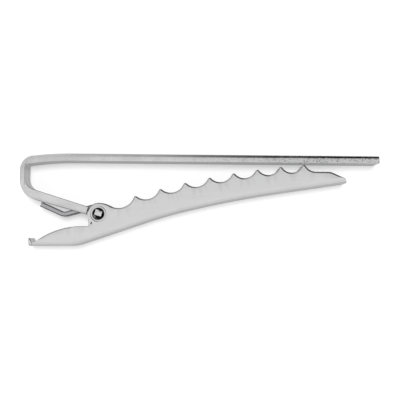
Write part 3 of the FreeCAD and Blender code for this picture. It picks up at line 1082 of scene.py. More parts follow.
@dataclass
class Jaw:
    """Folded sheet with two toothed walls, ears, a nose and a thumb tab. Sizes in millimetres."""

    shut_angle: float = 13.898606
    width: float = 5.4
    sheet: float = 0.5
    fold: float = 0.75
    ear_radius: float = 1.5
    ear_foot: float = 1.45
    ear_lean: float = 5.5
    foot_radius: float = 0.3
    foot_room: float = 0.05
    hole_radius: float = 0.8006
    rim_round: float = 0.17
    brow_radius: float = 3.1
    brow_angle: float = 80.0
    neck_radius: float = 2.3
    teeth: int = 8
    first_tooth: float = 5.55
    pitch: float = 3.61
    pitch_step: float = 0.07
    tooth_depth: float = 0.9
    tooth_round: float = 0.25
    arch_apex: float = 12.0
    arch_radius: float = 110.0
    back_depth: float = 2.41
    back_radius: float = 62.0
    shank_slope: float = 5.3
    belly_radius: float = 150.0
    nose_fall: float = 5.0
    nose_reach: float = 5.3
    nose_run: float = 1.5
    nose_depth: float = 1.32
    nose_flat: float = 2.04
    nose_angle: float = 13.7
    nose_radius: float = 2.0
    tip_height: float = 0.6
    tab_root: float = 4.07
    tab_length: float = 6.63
    tab_angle: float = 13.2
    tab_bend_radius: float = 5.5
    crown_radius: float = 10.7
    notch: float = 0.35
    lip_height: float = 1.13
    lip_edge: float = 0.2
    lip_round: float = 0.12
    lip_angle: float = 50.0
    lip_segments: int = 4
    lip_steps: int = 9
    mark_spot: Spot = (-1.26, -1.05)
    mark_radii: tuple[float, float] = (0.09, 0.175)
    mark_turn: float = -28.0
    mark_round: float = 0.03
    edge_round: float = 0.245
    inside_round: float = 0.06
    edge_end: float = 0.1
    edge_room: float = 0.6
    ear_side: float = 1.35
    ear_top: float = 0.3
    ear_rooms: tuple[float, float] = (0.2, 0.06)
    roll_flatness: float = 0.5
    roll_rows: int = 5
    # Painted shade on rolled edges: full from this roll radius, reached over this many rows.
    edge_shade_roll: float = 0.15
    edge_shade_rows: int = 2
    ring: tuple[tuple[float, float], ...] = (
        (1.2, 0.0), (1.14, 0.0), (1.09, 0.03), (1.04, 0.0), (0.99, 0.0)
    )
    # Groove depth at which the pressed ring's painted shade would be full.
    ring_shade_depth: float = 0.06
    fold_rows: int = 7
    hole_steps: int = 48
    mark_steps: int = 16
    crown_steps: int = 60
    ear_steps: int = 20
    crest_steps: int = 8
    hollow_steps: int = 14
    blunt_steps: int = 3
    foot_steps: int = 6
    foot_lead: int = 4
    side_steps: int = 4
    tab_steps: int = 5
    rise_steps: int = 4
    bend_steps: int = 10
    shank_steps: int = 5
    back_steps: int = 8
    belly_steps: int = 10
    nose_steps: int = 4
    tip_steps: int = 5
    weld: float = 2e-4
    draft: Draft = field(init=False)
    reach: float = field(init=False)
    tip: float = field(init=False)
    half: float = field(init=False)

    def __post_init__(self) -> None:
        """Start the mesh in the jaw's own frame, turned as it lies when shut."""
        self.draft = Draft(self.shut_angle)
        self.reach = self.tooth_place(self.teeth - 1)
        self.tip = self.reach + self.nose_reach
        self.half = self.width / 2

    def tooth_place(self, number: int) -> float:
        """Distance of a tooth's crest from the pivot along the bite line."""
        return self.first_tooth + number * self.pitch - number * (number - 1) / 2 * self.pitch_step

    def arch(self, x: float) -> float:
        """Height of the line over the crests."""
        top = math.sqrt(self.arch_radius**2 - (x - self.arch_apex) ** 2)
        return top - math.sqrt(self.arch_radius**2 - (self.reach - self.arch_apex) ** 2)

    def back_place(self, angle: float) -> Spot:
        """Spot on the curved back, by its angle from the apex towards the tip."""
        curve = self.belly_radius if angle > 0 else self.back_radius
        return ahead((self.arch_apex, -self.back_depth - curve), turned(UP, -angle), curve)

    def root_height(self) -> float:
        """Height of the corner where the lines of tab and shank meet."""
        x, y = self.back_place(-self.shank_slope)
        return y - (x + self.tab_root) * math.tan(math.radians(self.shank_slope))

    def on_tab(self, back: float, rise: float) -> Spot:
        """Spot on the thumb tab, by its distance from the tab's root and above its underside."""
        x, y = turned((-back, rise), -self.tab_angle)
        return x - self.tab_root, y + self.root_height()

    def columns(self, crossing: float, landing: float) -> list[tuple[Spot, Spot]]:
        """Spots along the underside from lip to tip, each with the direction into the channel.

        Args:
            crossing: Distance from the tab's root where the wall's top edge leaves the fold.
            landing: Distance from the tip's foot where it comes back to the fold.

        Returns:
            Pairs of spot and direction.
        """
        bend = self.tab_bend_radius * math.tan(math.radians(self.shank_slope + self.tab_angle) / 2)
        lip = self.tab_length - self.sheet
        notch, leaving, rising, bend_start = (
            self.on_tab(back, 0.0)
            for back in (lip - self.notch, crossing, crossing - self.edge_end, bend)
        )
        tab = [self.on_tab(lip, 0.0), notch, *run(notch, leaving, self.tab_steps)]
        tab += [rising, *run(rising, bend_start, self.rise_steps)]
        middle = self.on_tab(bend, self.tab_bend_radius)
        shank_up, nose_up = turned(UP, self.shank_slope), turned(UP, -self.nose_fall)
        bend_end = ahead(middle, shank_up, -self.tab_bend_radius)
        bend_round = arc(middle, tab[-1], bend_end, False, self.bend_steps)
        shank = run(bend_end, self.back_place(-self.shank_slope), self.shank_steps)
        places = [(spot, turned(UP, -self.tab_angle)) for spot in tab]
        places += [(spot, heading(spot, middle)) for spot in bend_round]
        places += [(spot, shank_up) for spot in shank]
        backs, bellies = range(1, self.back_steps + 1), range(1, self.belly_steps + 1)
        angles = [self.shank_slope * (step / self.back_steps - 1) for step in backs]
        angles += [self.nose_fall * step / self.belly_steps for step in bellies]
        places += [(self.back_place(angle), turned(UP, -angle)) for angle in angles]
        foot = self.tip_foot()
        falling, landed = (
            ahead(foot, turned((-1.0, 0.0), -self.nose_fall), back)
            for back in (landing + self.edge_end, landing)
        )
        nose = [*run(places[-1][0], falling, self.nose_steps), landed]
        nose += run(landed, foot, self.tip_steps)
        places += [(spot, nose_up) for spot in nose[:-1]]
        return [*places, (foot, UP)]

    def tip_foot(self) -> Spot:
        """Lowest spot of the blunt tip."""
        x, y = self.back_place(self.nose_fall)
        return self.tip, y - (self.tip - x) * math.tan(math.radians(self.nose_fall))

    def crown(self) -> list[Spot]:
        """Top edge of the thumb tab's wall, from the notch to the foot of the ear.

        Returns:
            The spots.
        """
        notch = self.on_tab(self.tab_length - self.sheet - self.notch, self.sheet)
        corner = self.ear_corner()
        return [notch, *arc_of_radius(notch, corner, self.crown_radius, self.crown_steps)]

    def ear_corner(self) -> Spot:
        """Corner where the ear's leaning side meets the tab's crown."""
        lean = math.radians(self.ear_lean)
        return -(self.ear_radius / math.cos(lean) + self.ear_foot * math.tan(lean)), -self.ear_foot

    def tab_rise(self, spot: Spot) -> tuple[float, float]:
        """Distance of a spot from the tab's root and its height above the tab's underside."""
        x, y = turned((spot[0] + self.tab_root, spot[1] - self.root_height()), self.tab_angle)
        return -x, y

    def nose_rise(self, spot: Spot) -> tuple[float, float]:
        """Measure a spot from the tip's foot.

        Args:
            spot: The spot.

        Returns:
            Its distance back along the nose and its height above the nose's underside.
        """
        foot = self.tip_foot()
        x, y = turned((spot[0] - foot[0], spot[1] - foot[1]), self.nose_fall)
        return -x, y

    def crests(self) -> list[tuple[Spot, float]]:
        """Rounds that stand out of the top edge: brow and teeth.

        Returns:
            Middle and radius of each.
        """
        brow = turned((self.ear_radius - self.brow_radius, 0.0), self.brow_angle)
        places = [self.tooth_place(number) for number in range(self.teeth)]
        tops = [(x, self.arch(x) - self.tooth_round) for x in places]
        return [(brow, self.brow_radius), *((top, self.tooth_round) for top in tops)]

    def hollows(self) -> list[float]:
        """Hollows between those rounds: the neck and the gaps between the teeth.

        Returns:
            Radius of each.
        """
        pitches = [self.pitch - number * self.pitch_step for number in range(self.teeth - 1)]
        depth = self.tooth_depth
        gaps = [(pitch**2 / 4 + depth**2) / (2 * depth) - self.tooth_round for pitch in pitches]
        return [self.neck_radius, *gaps]

    def toothed_edge(self) -> list[Spot]:
        """Top edge of a wall from the ear's side to the tip: ear, brow, neck, teeth and nose.

        Returns:
            The spots.
        """
        brow = turned((self.ear_radius, 0.0), self.brow_angle)
        crests = self.crests()
        flat_start = (self.reach + self.nose_run, -self.nose_depth)
        flat_up = turned(UP, -self.nose_angle)
        last, last_radius = crests[-1]
        gap = (flat_start[0] - last[0], flat_start[1] - last[1])
        lean = flat_up[0] * gap[0] + flat_up[1] * gap[1]
        nose_hollow = (gap[0] ** 2 + gap[1] ** 2 - last_radius**2) / (2 * (last_radius - lean))
        edge = [turned((-self.ear_radius, 0.0), -self.ear_lean)]
        edge += arc((0.0, 0.0), edge[0], brow, True, self.ear_steps)
        pairs = zip(pairwise(crests), self.hollows())
        for ((crest, radius), (following, size)), hollow in pairs:
            middle = touching(crest, radius, following, size, hollow)
            start, end = (
                ahead(spot, heading(spot, middle), spot_radius)
                for spot, spot_radius in ((crest, radius), (following, size))
            )
            edge += arc(crest, edge[-1], start, True, self.crest_steps)
            edge += arc(middle, start, end, False, self.hollow_steps)
        middle = ahead(flat_start, flat_up, nose_hollow)
        start = ahead(last, heading(last, middle), last_radius)
        edge += arc(last, edge[-1], start, True, self.crest_steps)
        edge += arc(middle, start, flat_start, False, self.crest_steps)
        corner = ahead(flat_start, turned((1.0, 0.0), -self.nose_angle), self.nose_flat)
        top = ahead(self.tip_foot(), UP, self.tip_height)
        edge += corner_round(flat_start, corner, top, self.nose_radius, self.crest_steps)
        return edge + run(edge[-1], top, self.blunt_steps)

    def wall_edge(self) -> tuple[list[Spot], float, float]:
        """Top edge of a wall, from where it leaves the fold at the tab to where it ends at the tip.

        Returns:
            The spots, the distance from the tab's root where the edge leaves the fold, and the
            distance from the tip's foot where it lands on it.
        """
        crown = self.crown()
        toothed = self.toothed_edge()
        rounded = corner_round(
            crown[-self.foot_lead], self.ear_corner(), toothed[0], self.foot_radius, self.foot_steps
        )
        tab_rises = [self.tab_rise(spot) for spot in crown]
        nose_rises = [self.nose_rise(spot) for spot in toothed]
        leaving = next(index for index, (_, rise) in enumerate(tab_rises) if rise > self.fold)
        last = max(index for index, (_, rise) in enumerate(nose_rises) if rise > self.fold)
        crossing = self.at_fold(*tab_rises[leaving - 1 : leaving + 1])
        landing = self.at_fold(*nose_rises[last : last + 2])
        left = self.on_tab(crossing, self.fold)
        landed = ahead(self.tip_foot(), turned((-landing, self.fold), -self.nose_fall), 1.0)
        crown = [spot for spot in crown[leaving:] if spot[0] < rounded[0][0] - self.foot_room]
        rounded += run(rounded[-1], toothed[0], self.side_steps)[:-1]
        return [left, *crown, *rounded, *toothed[: last + 1], landed], crossing, landing

    def at_fold(self, first: Spot, second: Spot) -> float:
        """Distance where a line between two pairs of distance and height reaches the fold."""
        share = (self.fold - first[1]) / (second[1] - first[1])
        return first[0] + (second[0] - first[0]) * share

    def roll_at(self, spot: Spot, radius: float) -> float:
        """Radius of the rolled edge at a spot, less where the wall runs out into the fold.

        Args:
            spot: Spot on the wall's top edge.
            radius: Radius where there is room for it.

        Returns:
            The radius.
        """
        room = self.edge_round * 2
        if spot[0] < -self.tab_root:
            room = self.tab_rise(spot)[1] - self.fold
        elif spot[0] > self.reach + self.nose_run:
            room = self.nose_rise(spot)[1] - self.fold
        elif spot[0] < -self.ear_side and spot[1] > -self.ear_side:
            room = self.ear_rooms[spot[1] > -self.ear_top]
        return min(radius, self.edge_room * max(room, 0.0))

    def openings(self) -> list[tuple[list[Spot], float]]:
        """Round pivot hole and small punch mark of a wall.

        Returns:
            The outline of each, with the round of its rim.
        """
        hole = oval(self.hole_radius, self.hole_radius, self.hole_steps)
        mark = [
            ahead(self.mark_spot, turned(spot, self.mark_turn), 1.0)
            for spot in oval(*self.mark_radii, self.mark_steps)
        ]
        return [(hole, self.rim_round), (mark, self.mark_round)]

    def rolled(
        self,
        spots: Sequence[Spot],
        offsets: Sequence[Spot],
        rounds: Sequence[float],
        side: Side,
        flip: float,
        base: float,
    ) -> list[list[int]]:
        """Rows of vertices that roll a sheet's face over into its cut edge.

        Args:
            spots: Cut edge, seen along the pivot axis.
            offsets: Offsets at its spots that move it one unit into the metal.
            rounds: Radius of the rolled edge at each spot.
            side: Wall that it belongs to.
            flip: 1 for the wall's outer face, -1 for its inner face.
            base: Distance of that face from the mid-plane.

        Returns:
            Rows from the flat face to the cut edge.
        """
        rows = []
        for step in range(self.roll_rows + 1):
            angle = math.pi / 2 * step / self.roll_rows
            # The outer rows of each roll get painted shade, standing in for the rolled edge's dark
            # reflection.
            shade_share = max(0.0, min(1.0, (step - 1) / self.edge_shade_rows))
            row = []
            for spot, offset, radius in zip(spots, offsets, rounds):
                inset = radius * (1 - math.sin(angle))
                depth = radius * (1 - math.cos(angle)) * self.roll_flatness
                height = side * (base - flip * depth)
                edge_shade_share = shade_share * min(1.0, radius / self.edge_shade_roll)
                row.append(self.draft.vertex(ahead(spot, offset, inset), height, edge_shade_share))
            rows.append(row)
        return rows

    def add_wall(
        self, side: Side, edge: list[Spot], outer_fold: list[int], inner_fold: list[int]
    ) -> None:
        """Add one toothed wall with its rolled edges, holes and cut edge.

        Args:
            side: Which wall.
            edge: Its top edge.
            outer_fold: Vertices where its outer face runs into the fold, from the tab to the tip.
            inner_fold: The same for its inner face.
        """
        offsets = mitres(edge)
        faces = (
            (self.edge_round, 1.0, self.half, outer_fold),
            (self.inside_round, -1.0, self.half - self.sheet, inner_fold),
        )
        cut_rows = []
        cut_rims: list[list[list[int]]] = []
        for radius, flip, base, fold in faces:
            rolls = [self.roll_at(spot, radius) for spot in edge]
            rows = self.rolled(edge, offsets, rolls, side, flip, base)
            rims = []
            for spots, rim_round in self.openings():
                away = [heading(self.middle(spots), spot) for spot in spots]
                rolls = [rim_round if flip > 0 else min(rim_round, self.inside_round)] * len(spots)
                rings = self.rolled(spots, away, rolls, side, flip, base)
                if flip > 0 and rim_round == self.rim_round:
                    rings = self.pressed_ring(spots, side) + rings
                self.draft.bridge_all(rings, closed=True)
                rims.append(rings)
            self.draft.bridge_all(rows)
            self.draft.fill([*rows[0], *reversed(fold[1:-1])], [rings[0] for rings in rims])
            cut_rows.append(rows[-1])
            cut_rims.append([rings[-1] for rings in rims])
        self.draft.bridge(*cut_rows)
        for outer, inner in zip(*cut_rims):
            self.draft.bridge(outer, inner, closed=True)

    def pressed_ring(self, hole: Sequence[Spot], side: Side) -> list[list[int]]:
        """Add the vertices of the shallow ring pressed into a wall's outer face round its hole.

        Args:
            hole: Spots of the hole.
            side: Which wall.

        Returns:
            Rows of vertices from the ring's outside to the hole.
        """
        rows = []
        for radius, depth in self.ring:
            # The pressed ring's groove gets painted shade, deepest at its bottom.
            height, shade_share = side * (self.half - depth), depth / self.ring_shade_depth
            spots = [ahead((0.0, 0.0), unit(spot), radius) for spot in hole]
            rows.append([self.draft.vertex(spot, height, shade_share) for spot in spots])
        return rows

    @staticmethod
    def middle(spots: Sequence[Spot]) -> Spot:
        """Mean of some spots."""
        x, y = (sum(values) / len(spots) for values in zip(*spots))
        return x, y

    def standing(self, column: Spot) -> float:
        """Height of the metal above the underside at a column, at most the height of the fold.

        Args:
            column: Spot on the jaw's underside.

        Returns:
            The height.
        """
        at_nose = column[0] > 0.0
        rise = self.nose_rise if at_nose else self.tab_rise
        place = rise(column)[0]
        profile = [rise(spot) for spot in (self.toothed_edge() if at_nose else self.crown())]
        if place > profile[0][0]:
            return self.fold if at_nose else self.sheet
        for (first, low), (second, high) in pairwise(profile):
            if second <= place <= first and first > second:
                return min(self.fold, low + (high - low) * (first - place) / (first - second))
        return profile[-1][1] if at_nose else self.fold

    def add_channel(
        self, columns: Sequence[tuple[Spot, Spot]], heights: Sequence[float], radius: float
    ) -> list[list[int]]:
        """Add one face of the channel's floor and folds.

        Args:
            columns: Spots along the underside, each with the direction into the channel.
            heights: Height of the metal above each.
            radius: Radius of the folds on that face.

        Returns:
            Rows of vertices from tab to tip, the near wall's first and the far wall's last.
        """
        rows: list[list[int]] = []
        for side in (Side.NEAR, Side.FAR):
            flank: list[list[int]] = [[] for _ in range(self.fold_rows + 1)]
            for (spot, up), height in zip(columns, heights):
                limit = math.acos(max(-1.0, min(1.0, (self.fold - height) / radius)))
                for row in range(self.fold_rows + 1):
                    angle = limit * (1 - row / self.fold_rows)
                    rise = self.fold - radius * math.cos(angle)
                    reach = self.half - self.fold + radius * math.sin(angle)
                    flank[row].append(self.draft.vertex(ahead(spot, up, rise), side * reach))
            rows += flank if side is Side.NEAR else list(reversed(flank))
        self.draft.bridge_all(rows)
        return rows

    def build(self) -> bpy.types.Object:
        """Make the jaw as one mesh.

        Returns:
            The finished object.
        """
        edge, crossing, landing = self.wall_edge()
        columns = self.columns(crossing, landing)
        first = sum(self.tab_rise(spot)[0] > crossing + SAME_SPOT for spot, _ in columns)
        past = sum(self.nose_rise(spot)[0] < landing - SAME_SPOT for spot, _ in columns)
        last = len(columns) - past
        heights = [self.standing(spot) for spot, _ in columns]
        heights[first:last] = [self.fold] * (last - first)
        outer, inner = (
            self.add_channel(columns, heights, radius)
            for radius in (self.fold, self.fold - self.sheet)
        )
        for end in (0, -1):
            self.draft.bridge([row[end] for row in outer], [row[end] for row in inner])
        for index, side in ((0, Side.NEAR), (-1, Side.FAR)):
            for trimmed in (slice(0, first + 1), slice(last - 1, None)):
                self.draft.bridge(outer[index][trimmed], inner[index][trimmed])
            self.add_wall(side, edge, outer[index][first:last], inner[index][first:last])
        piece = self.draft.build("jaw_sheet", merge=self.weld)
        self.add_lip(piece)
        settle(piece)
        dress(piece, JAW_PLATE)
        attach(piece, Body.JAW.value)
        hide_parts("jaw")
        return piece

    def add_lip(self, piece: bpy.types.Object) -> None:
        """Join the upturned lip at the tab's end to the jaw.

        Args:
            piece: The jaw, which takes up the lip's mesh.
        """
        draft = Draft(self.shut_angle)
        inset = self.half - self.fold
        section = [(self.half, self.lip_height), (self.half, self.fold)]
        fold_start, fold_end = (self.half, self.fold), (inset, 0.0)
        section += arc((inset, self.fold), fold_start, fold_end, True, self.lip_steps)
        section += [(-z, rise) for z, rise in reversed(section)]
        lean = (self.sheet - self.lip_edge) / (self.lip_height - self.sheet)
        rings = []
        for inside in (1.0, 0.0):
            ring = []
            for z, rise in section:
                back = self.tab_length - inside * (self.sheet - lean * max(0.0, rise - self.sheet))
                ring.append(draft.vertex(self.on_tab(back, rise), z))
            rings.append(ring)
        draft.bridge(*rings, closed=True)
        draft.faces += [rings[0], rings[1]]
        lip = draft.build("jaw_lip")
        soften(lip, self.lip_round, self.lip_segments, self.lip_angle)
        with reshaping(piece.data) as shape:
            shape.from_mesh(lip.data)
        bpy.data.objects.remove(lip)


@dataclass
class LeafSpring:
    """Bent leaf that pushes the arm and the thumb tab apart. Sizes in millimetres."""

    bar: FrontBar
    jaw: Jaw
    width: float = 2.6
    thickness: float = 0.66
    seat: float = 0.04
    leg_reach: float = 8.2
    bow_reach: float = 4.7
    bow_depth: float = 1.56
    bow_radius: float = 1.2
    wrap_gap: float = 0.08
    heel_back: float = 0.6
    heel_radius: float = 0.8
    toe_gap: float = 2.23
    edge_round: float = 0.07
    round_steps: int = 16
    edge_steps: int = 4
    section_cuts: int = 3
    # Bands along the leaf section's edges that get painted shade.
    shade_rim: Reach = (-0.17, -0.03)
    shade_side: Reach = (-0.25, -0.08)
    flexing: tuple[Spot, Spot] = ((-1.0, -1.2), (-1.594, -3.834))

    def corners(self) -> list[tuple[Spot, float]]:
        """Corners of the leaf's path with the radius that rounds each.

        Returns:
            Pairs of spot and radius, from the free end under the arm to the toe in the tab.
        """
        half = self.thickness / 2
        free = self.bar.on_arm(self.leg_reach, self.bar.arm_below + self.seat + half)
        bow = self.bar.on_arm(self.bow_reach, self.bow_depth)
        rise = self.jaw.sheet + self.seat + half
        heel, toe = (
            turned(self.jaw.on_tab(back, rise), self.jaw.shut_angle)
            for back in (self.heel_back, self.jaw.tab_length - self.toe_gap)
        )
        middle = (0.0, self.bar.lug_rise)
        wrap = math.hypot(self.bar.lug_width, self.bar.lug_thickness) / 2 + self.wrap_gap + half
        upper = self.leaving(middle, wrap, bow, -1.0)
        lower = self.leaving(middle, wrap, heel, 1.0)
        lines = (Vector((*spot, 0.0)) for spot in (bow, upper, heel, lower))
        peak = geometry.intersect_line_line(*lines)[0]
        return [
            (free, 0.0),
            (bow, self.bow_radius),
            ((peak.x, peak.y), wrap),
            (heel, self.heel_radius),
            (toe, 0.0),
        ]

    @staticmethod
    def leaving(middle: Spot, radius: float, target: Spot, side: float) -> Spot:
        """Spot where a straight line to a target leaves a round.

        Args:
            middle: Middle of the round.
            radius: Its radius.
            target: Spot that the line leads to.
            side: 1 if the line leaves on the left, -1 if on the right.

        Returns:
            The spot.
        """
        way = (target[0] - middle[0], target[1] - middle[1])
        angle = math.atan2(way[1], way[0]) + side * math.acos(radius / math.hypot(*way))
        return on_round(middle, radius, angle)

    def leaf_tree(self, material: bpy.types.Material) -> bpy.types.GeometryNodeTree:
        """Node tree that rounds a path's corners and draws the leaf along it.

        Args:
            material: Finish of the leaf.

        Returns:
            The tree, with named inputs for its sizes.
        """
        tree = bpy.data.node_groups.new("leaf_along_path", "GeometryNodeTree")
        names = list(self.lengths())
        for way in ("INPUT", "OUTPUT"):
            tree.interface.new_socket("Geometry", in_out=way, socket_type="NodeSocketGeometry")
        for name in names:
            tree.interface.new_socket(name, in_out="INPUT", socket_type="NodeSocketFloat")
        graph = Graph(tree)
        line = graph.node("NodeGroupInput", output="Geometry")
        width, thickness, edge_round = graph.outputs(line, names)
        radius = graph.node(
            "GeometryNodeInputNamedAttribute", {"Name": CORNER_RADIUS}, {"data_type": "FLOAT"}
        )
        path = graph.node("GeometryNodeMeshToCurve", {"Mesh": line})
        section = graph.node(
            "GeometryNodeCurvePrimitiveQuadrilateral",
            {"Width": thickness, "Height": width},
            {"mode": "RECTANGLE"},
        )
        rounded, eased = (
            graph.node(
                "GeometryNodeFilletCurve",
                {"Curve": curve, "Count": steps, "Radius": size},
                {"mode": "POLY"},
            )
            for curve, steps, size in (
                (path, self.round_steps, radius),
                (section, self.edge_steps, edge_round),
            )
        )
        level = graph.node("GeometryNodeSetCurveNormal", {"Curve": rounded}, {"mode": "Z_UP"})
        fine = graph.node("GeometryNodeSubdivideCurve", {"Curve": eased, "Cuts": self.section_cuts})
        # Painted shade along the leaf's rounded corners.
        across, over, _ = graph.axes(graph.node("GeometryNodeInputPosition"))
        rim, side = (
            (abs(axis) - size * 0.5).between(low * MM, high * MM)
            for axis, size, (low, high) in (
                (across, thickness, self.shade_rim),
                (over, width, self.shade_side),
            )
        )
        edge_shade_share = graph.node(
            "GeometryNodeStoreNamedAttribute",
            {"Geometry": fine, "Name": PAINTED_EDGE_SHADE, "Value": rim * side},
            {"data_type": "FLOAT", "domain": "POINT"},
        )
        leaf = graph.node(
            "GeometryNodeCurveToMesh", {"Curve": level, "Profile Curve": edge_shade_share, "Fill Caps": True}
        )
        real = graph.node("GeometryNodeRealizeInstances", {"Geometry": leaf})
        dressed = graph.node("GeometryNodeSetMaterial", {"Geometry": real, "Material": material})
        graph.node("NodeGroupOutput", {"Geometry": dressed})
        return tree

    def lengths(self) -> dict[str, float]:
        """Sizes that the leaf's node tree takes.

        Returns:
            Length in metres by the name of its input.
        """
        return {
            "Width": self.width * MM,
            "Thickness": self.thickness * MM,
            "Edge Round": self.edge_round * MM,
        }

    def build(self) -> bpy.types.Object:
        """Make the leaf along its path.

        Returns:
            The finished object.
        """
        corners = self.corners()
        mesh = bpy.data.meshes.new("leaf_spring")
        spots = [(Vector((*spot, 0.0)) + PIVOT) * MM for spot, _ in corners]
        mesh.from_pydata(spots, [(index, index + 1) for index in range(len(spots) - 1)], [])
        attribute = mesh.attributes.new(CORNER_RADIUS, "FLOAT", "POINT")
        attribute.data.foreach_set("value", [radius * MM for _, radius in corners])
        piece = add_object("leaf_spring", mesh)
        maker = piece.modifiers.new("leaf", "NODES")
        maker.node_group = self.leaf_tree(SPRING_STEEL.material())
        lengths = self.lengths()
        for item in maker.node_group.interface.items_tree:
            if item.in_out == "INPUT" and item.name in lengths:
                maker[item.identifier] = lengths[item.name]
        bake_modifiers(piece)
        with reshaping(piece.data) as shape:
            bmesh.ops.recalc_face_normals(shape, faces=shape.faces)
        settle(piece)
        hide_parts("spring")
        start, end = (tuple((Vector((*spot, 0.0)) + PIVOT) * MM) for spot in self.flexing)
        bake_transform(piece)
        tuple(start)
        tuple(end)
        return piece


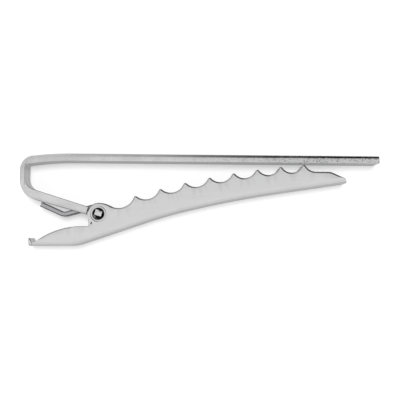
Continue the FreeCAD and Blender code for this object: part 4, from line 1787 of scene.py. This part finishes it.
@dataclass
class Studio:
    """White floor, tent of soft light, lamp and camera. Lengths in millimetres, angles in degrees.

    Each wall of the tent and the roof's fall are given by a soft step along an axis and a strength.
    """

    floor_size: float = 1200.0
    # Floor level inside the painted shadow spots, added to the paper everywhere.
    painted_shadow_paper: float = 0.04
    paper_light: float = 0.86
    paper_glow: float = 0.5
    mirrored: float = 0.36
    mirror_share: float = 0.8
    # Middle and radii of each painted shadow spot on the floor, under the pivot hole and the punch
    # mark.
    shaded: tuple[tuple[Spot, Reach], ...] = (
        ((0.0, 0.0), (0.8, 1.6)), ((-1.46, -1.23), (0.25, 0.4))
    )
    tent_light: float = 0.32
    left_wall: tuple[Reach, float] = ((-0.16, 0.03), 0.34)
    front_wall: tuple[Reach, float] = ((-0.5, -0.05), 0.38)
    roof: Reach = (0.70, 0.92)
    roof_light: float = 0.775
    roof_fall: tuple[Reach, float] = ((0.052, 0.075), 0.105)
    gap: tuple[Reach, Reach, Reach] = ((-0.05, 0.08), (0.12, 0.34), (0.93, 0.985))
    gap_depth: float = 0.97
    lamp_strength: float = 2.6
    lamp_breadth: float = 12.0
    lamp_tilt: tuple[float, float] = (-6.0, 1.5)
    camera_spot: tuple[float, float, float] = (0.0, -5.9, 173.6)
    target: tuple[float, float, float] = (0.07, 0.148, 5.6)
    roll: float = 0.54
    pixels_per_mm: float = 7.196
    picture: int = 400
    sensor: float = 36.0
    sight: Reach = (10.0, 10000.0)

    def build(self) -> None:
        """Set up floor, light and camera."""
        self.add_floor()
        self.add_tent()
        self.add_lamp()
        self.add_camera()
        bpy.context.scene.view_settings.view_transform = "Standard"

    def add_floor(self) -> None:
        """Add the white floor, which keeps the clip's shadow."""
        half = self.floor_size / 2 * MM
        mesh = bpy.data.meshes.new("floor")
        corners = [(x * half, y * half, 0.0) for x, y in ((-1, -1), (1, -1), (1, 1), (-1, 1))]
        mesh.from_pydata(corners, [], [(0, 1, 2, 3)])
        mesh.materials.append(self.paper())
        add_object("floor", mesh)

    def paper(self) -> bpy.types.Material:
        """Make the floor's white paper, with painted shadow under the pivot hole and the punch
        mark.

        Returns:
            The material.
        """
        paper = bpy.data.materials.new("white_paper")
        graph = Graph.of(paper)
        rays = ("Is Camera Ray", "Is Glossy Ray", "Is Transmission Ray")
        camera, glossy, through = graph.outputs(graph.node("ShaderNodeLightPath"), rays)
        place = graph.node("ShaderNodeTexCoord", output="Object")
        masks = []
        for (x, y), (dark, light) in self.shaded:
            below = Vector((PIVOT.x + x, PIVOT.y + y, 0.0)) * MM
            distance = graph.node(
                "ShaderNodeVectorMath",
                {0: place, 1: below},
                {"operation": "DISTANCE"},
                output="Value",
            )
            masks.append(distance.between(dark * MM, light * MM))
        # Zero in the painted shadow spots, one on the open floor.
        outside_painted_shadow = math.prod(masks)
        shade = outside_painted_shadow * self.paper_light + self.painted_shadow_paper
        matt = graph.node("ShaderNodeBsdfDiffuse", {"Color": shade})
        white, grey = (
            graph.node("ShaderNodeEmission", {"Color": colour})
            for colour in (WHITE, (self.mirrored, self.mirrored, self.mirrored, 1.0))
        )
        seen, mirror = camera * outside_painted_shadow * self.paper_glow, (glossy | through) * self.mirror_share
        lit = graph.node("ShaderNodeMixShader", {0: seen, 1: matt, 2: white})
        mixed = graph.node("ShaderNodeMixShader", {0: mirror, 1: lit, 2: grey})
        graph.node("ShaderNodeOutputMaterial", {"Surface": mixed})
        return paper

    def add_tent(self) -> None:
        """Light the scene from a tent with a bright roof and a dark gap at the back right."""
        world = bpy.data.worlds.new("light_tent")
        bpy.context.scene.world = world
        graph = Graph.of(world)
        x, y, z = graph.axes(graph.node("ShaderNodeTexCoord", output="Generated"))
        walls = [
            axis.before(*step) * strength
            for axis, (step, strength) in ((x, self.left_wall), (y, self.front_wall))
        ]
        step, fall = self.roof_fall
        roof = z.between(*self.roof)
        level = (self.tent_light + (walls[0] | walls[1])) * (1.0 - roof)
        level = level + roof * (self.roof_light - fall * y.between(*step))
        right, back, under = self.gap
        gap = x.between(*right) * y.between(*back) * z.before(*under)
        camera = graph.node("ShaderNodeLightPath", output="Is Camera Ray")
        cloth, plain = (
            graph.node("ShaderNodeBackground", {"Color": WHITE, "Strength": strength})
            for strength in (level * (1.0 - gap * self.gap_depth), 1.0)
        )
        mixed = graph.node("ShaderNodeMixShader", {0: camera, 1: cloth, 2: plain})
        graph.node("ShaderNodeOutputWorld", {"Surface": mixed})

    def add_lamp(self) -> None:
        """Add the broad overhead lamp that lights the floor, a little from the back."""
        lamp = bpy.data.lights.new("overhead", "SUN")
        lamp.energy = self.lamp_strength
        lamp.angle = math.radians(self.lamp_breadth)
        holder = add_object("overhead", lamp)
        holder.rotation_euler = (*map(math.radians, self.lamp_tilt), 0.0)
        holder.visible_glossy = False

    def add_camera(self) -> None:
        """Add the camera over the clip, a little in front of it, with the photo's small roll."""
        lens = bpy.data.cameras.new("camera")
        spot = Vector(self.camera_spot)
        target = Vector(self.target)
        lens.sensor_fit = "HORIZONTAL"
        lens.sensor_width = self.sensor
        lens.lens = self.sensor * self.pixels_per_mm * (spot - target).length / self.picture
        lens.clip_start, lens.clip_end = (distance * MM for distance in self.sight)
        camera = add_object("camera", lens)
        back = (spot - target).normalized()
        tilt = math.radians(self.roll)
        up = Vector((-math.sin(tilt), math.cos(tilt), 0.0))
        right = up.cross(back).normalized()
        up = back.cross(right)
        facing = Matrix((right, up, back)).transposed().to_4x4()
        camera.matrix_world = Matrix.Translation(spot * MM) @ facing
        bpy.context.scene.camera = camera


def main() -> None:
    """Build the pieces and the studio, and log each piece's face count."""
    logging.basicConfig(level=logging.INFO, format="%(name)s: %(message)s")
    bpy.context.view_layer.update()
    bar = FrontBar()
    jaw = Jaw()
    for maker in (bar, jaw, LeafSpring(bar, jaw)):
        piece = maker.build()
        log.info("%s: %d faces", piece.name, len(piece.data.polygons))
    Studio().build()


if __name__ == "__main__":
    main()
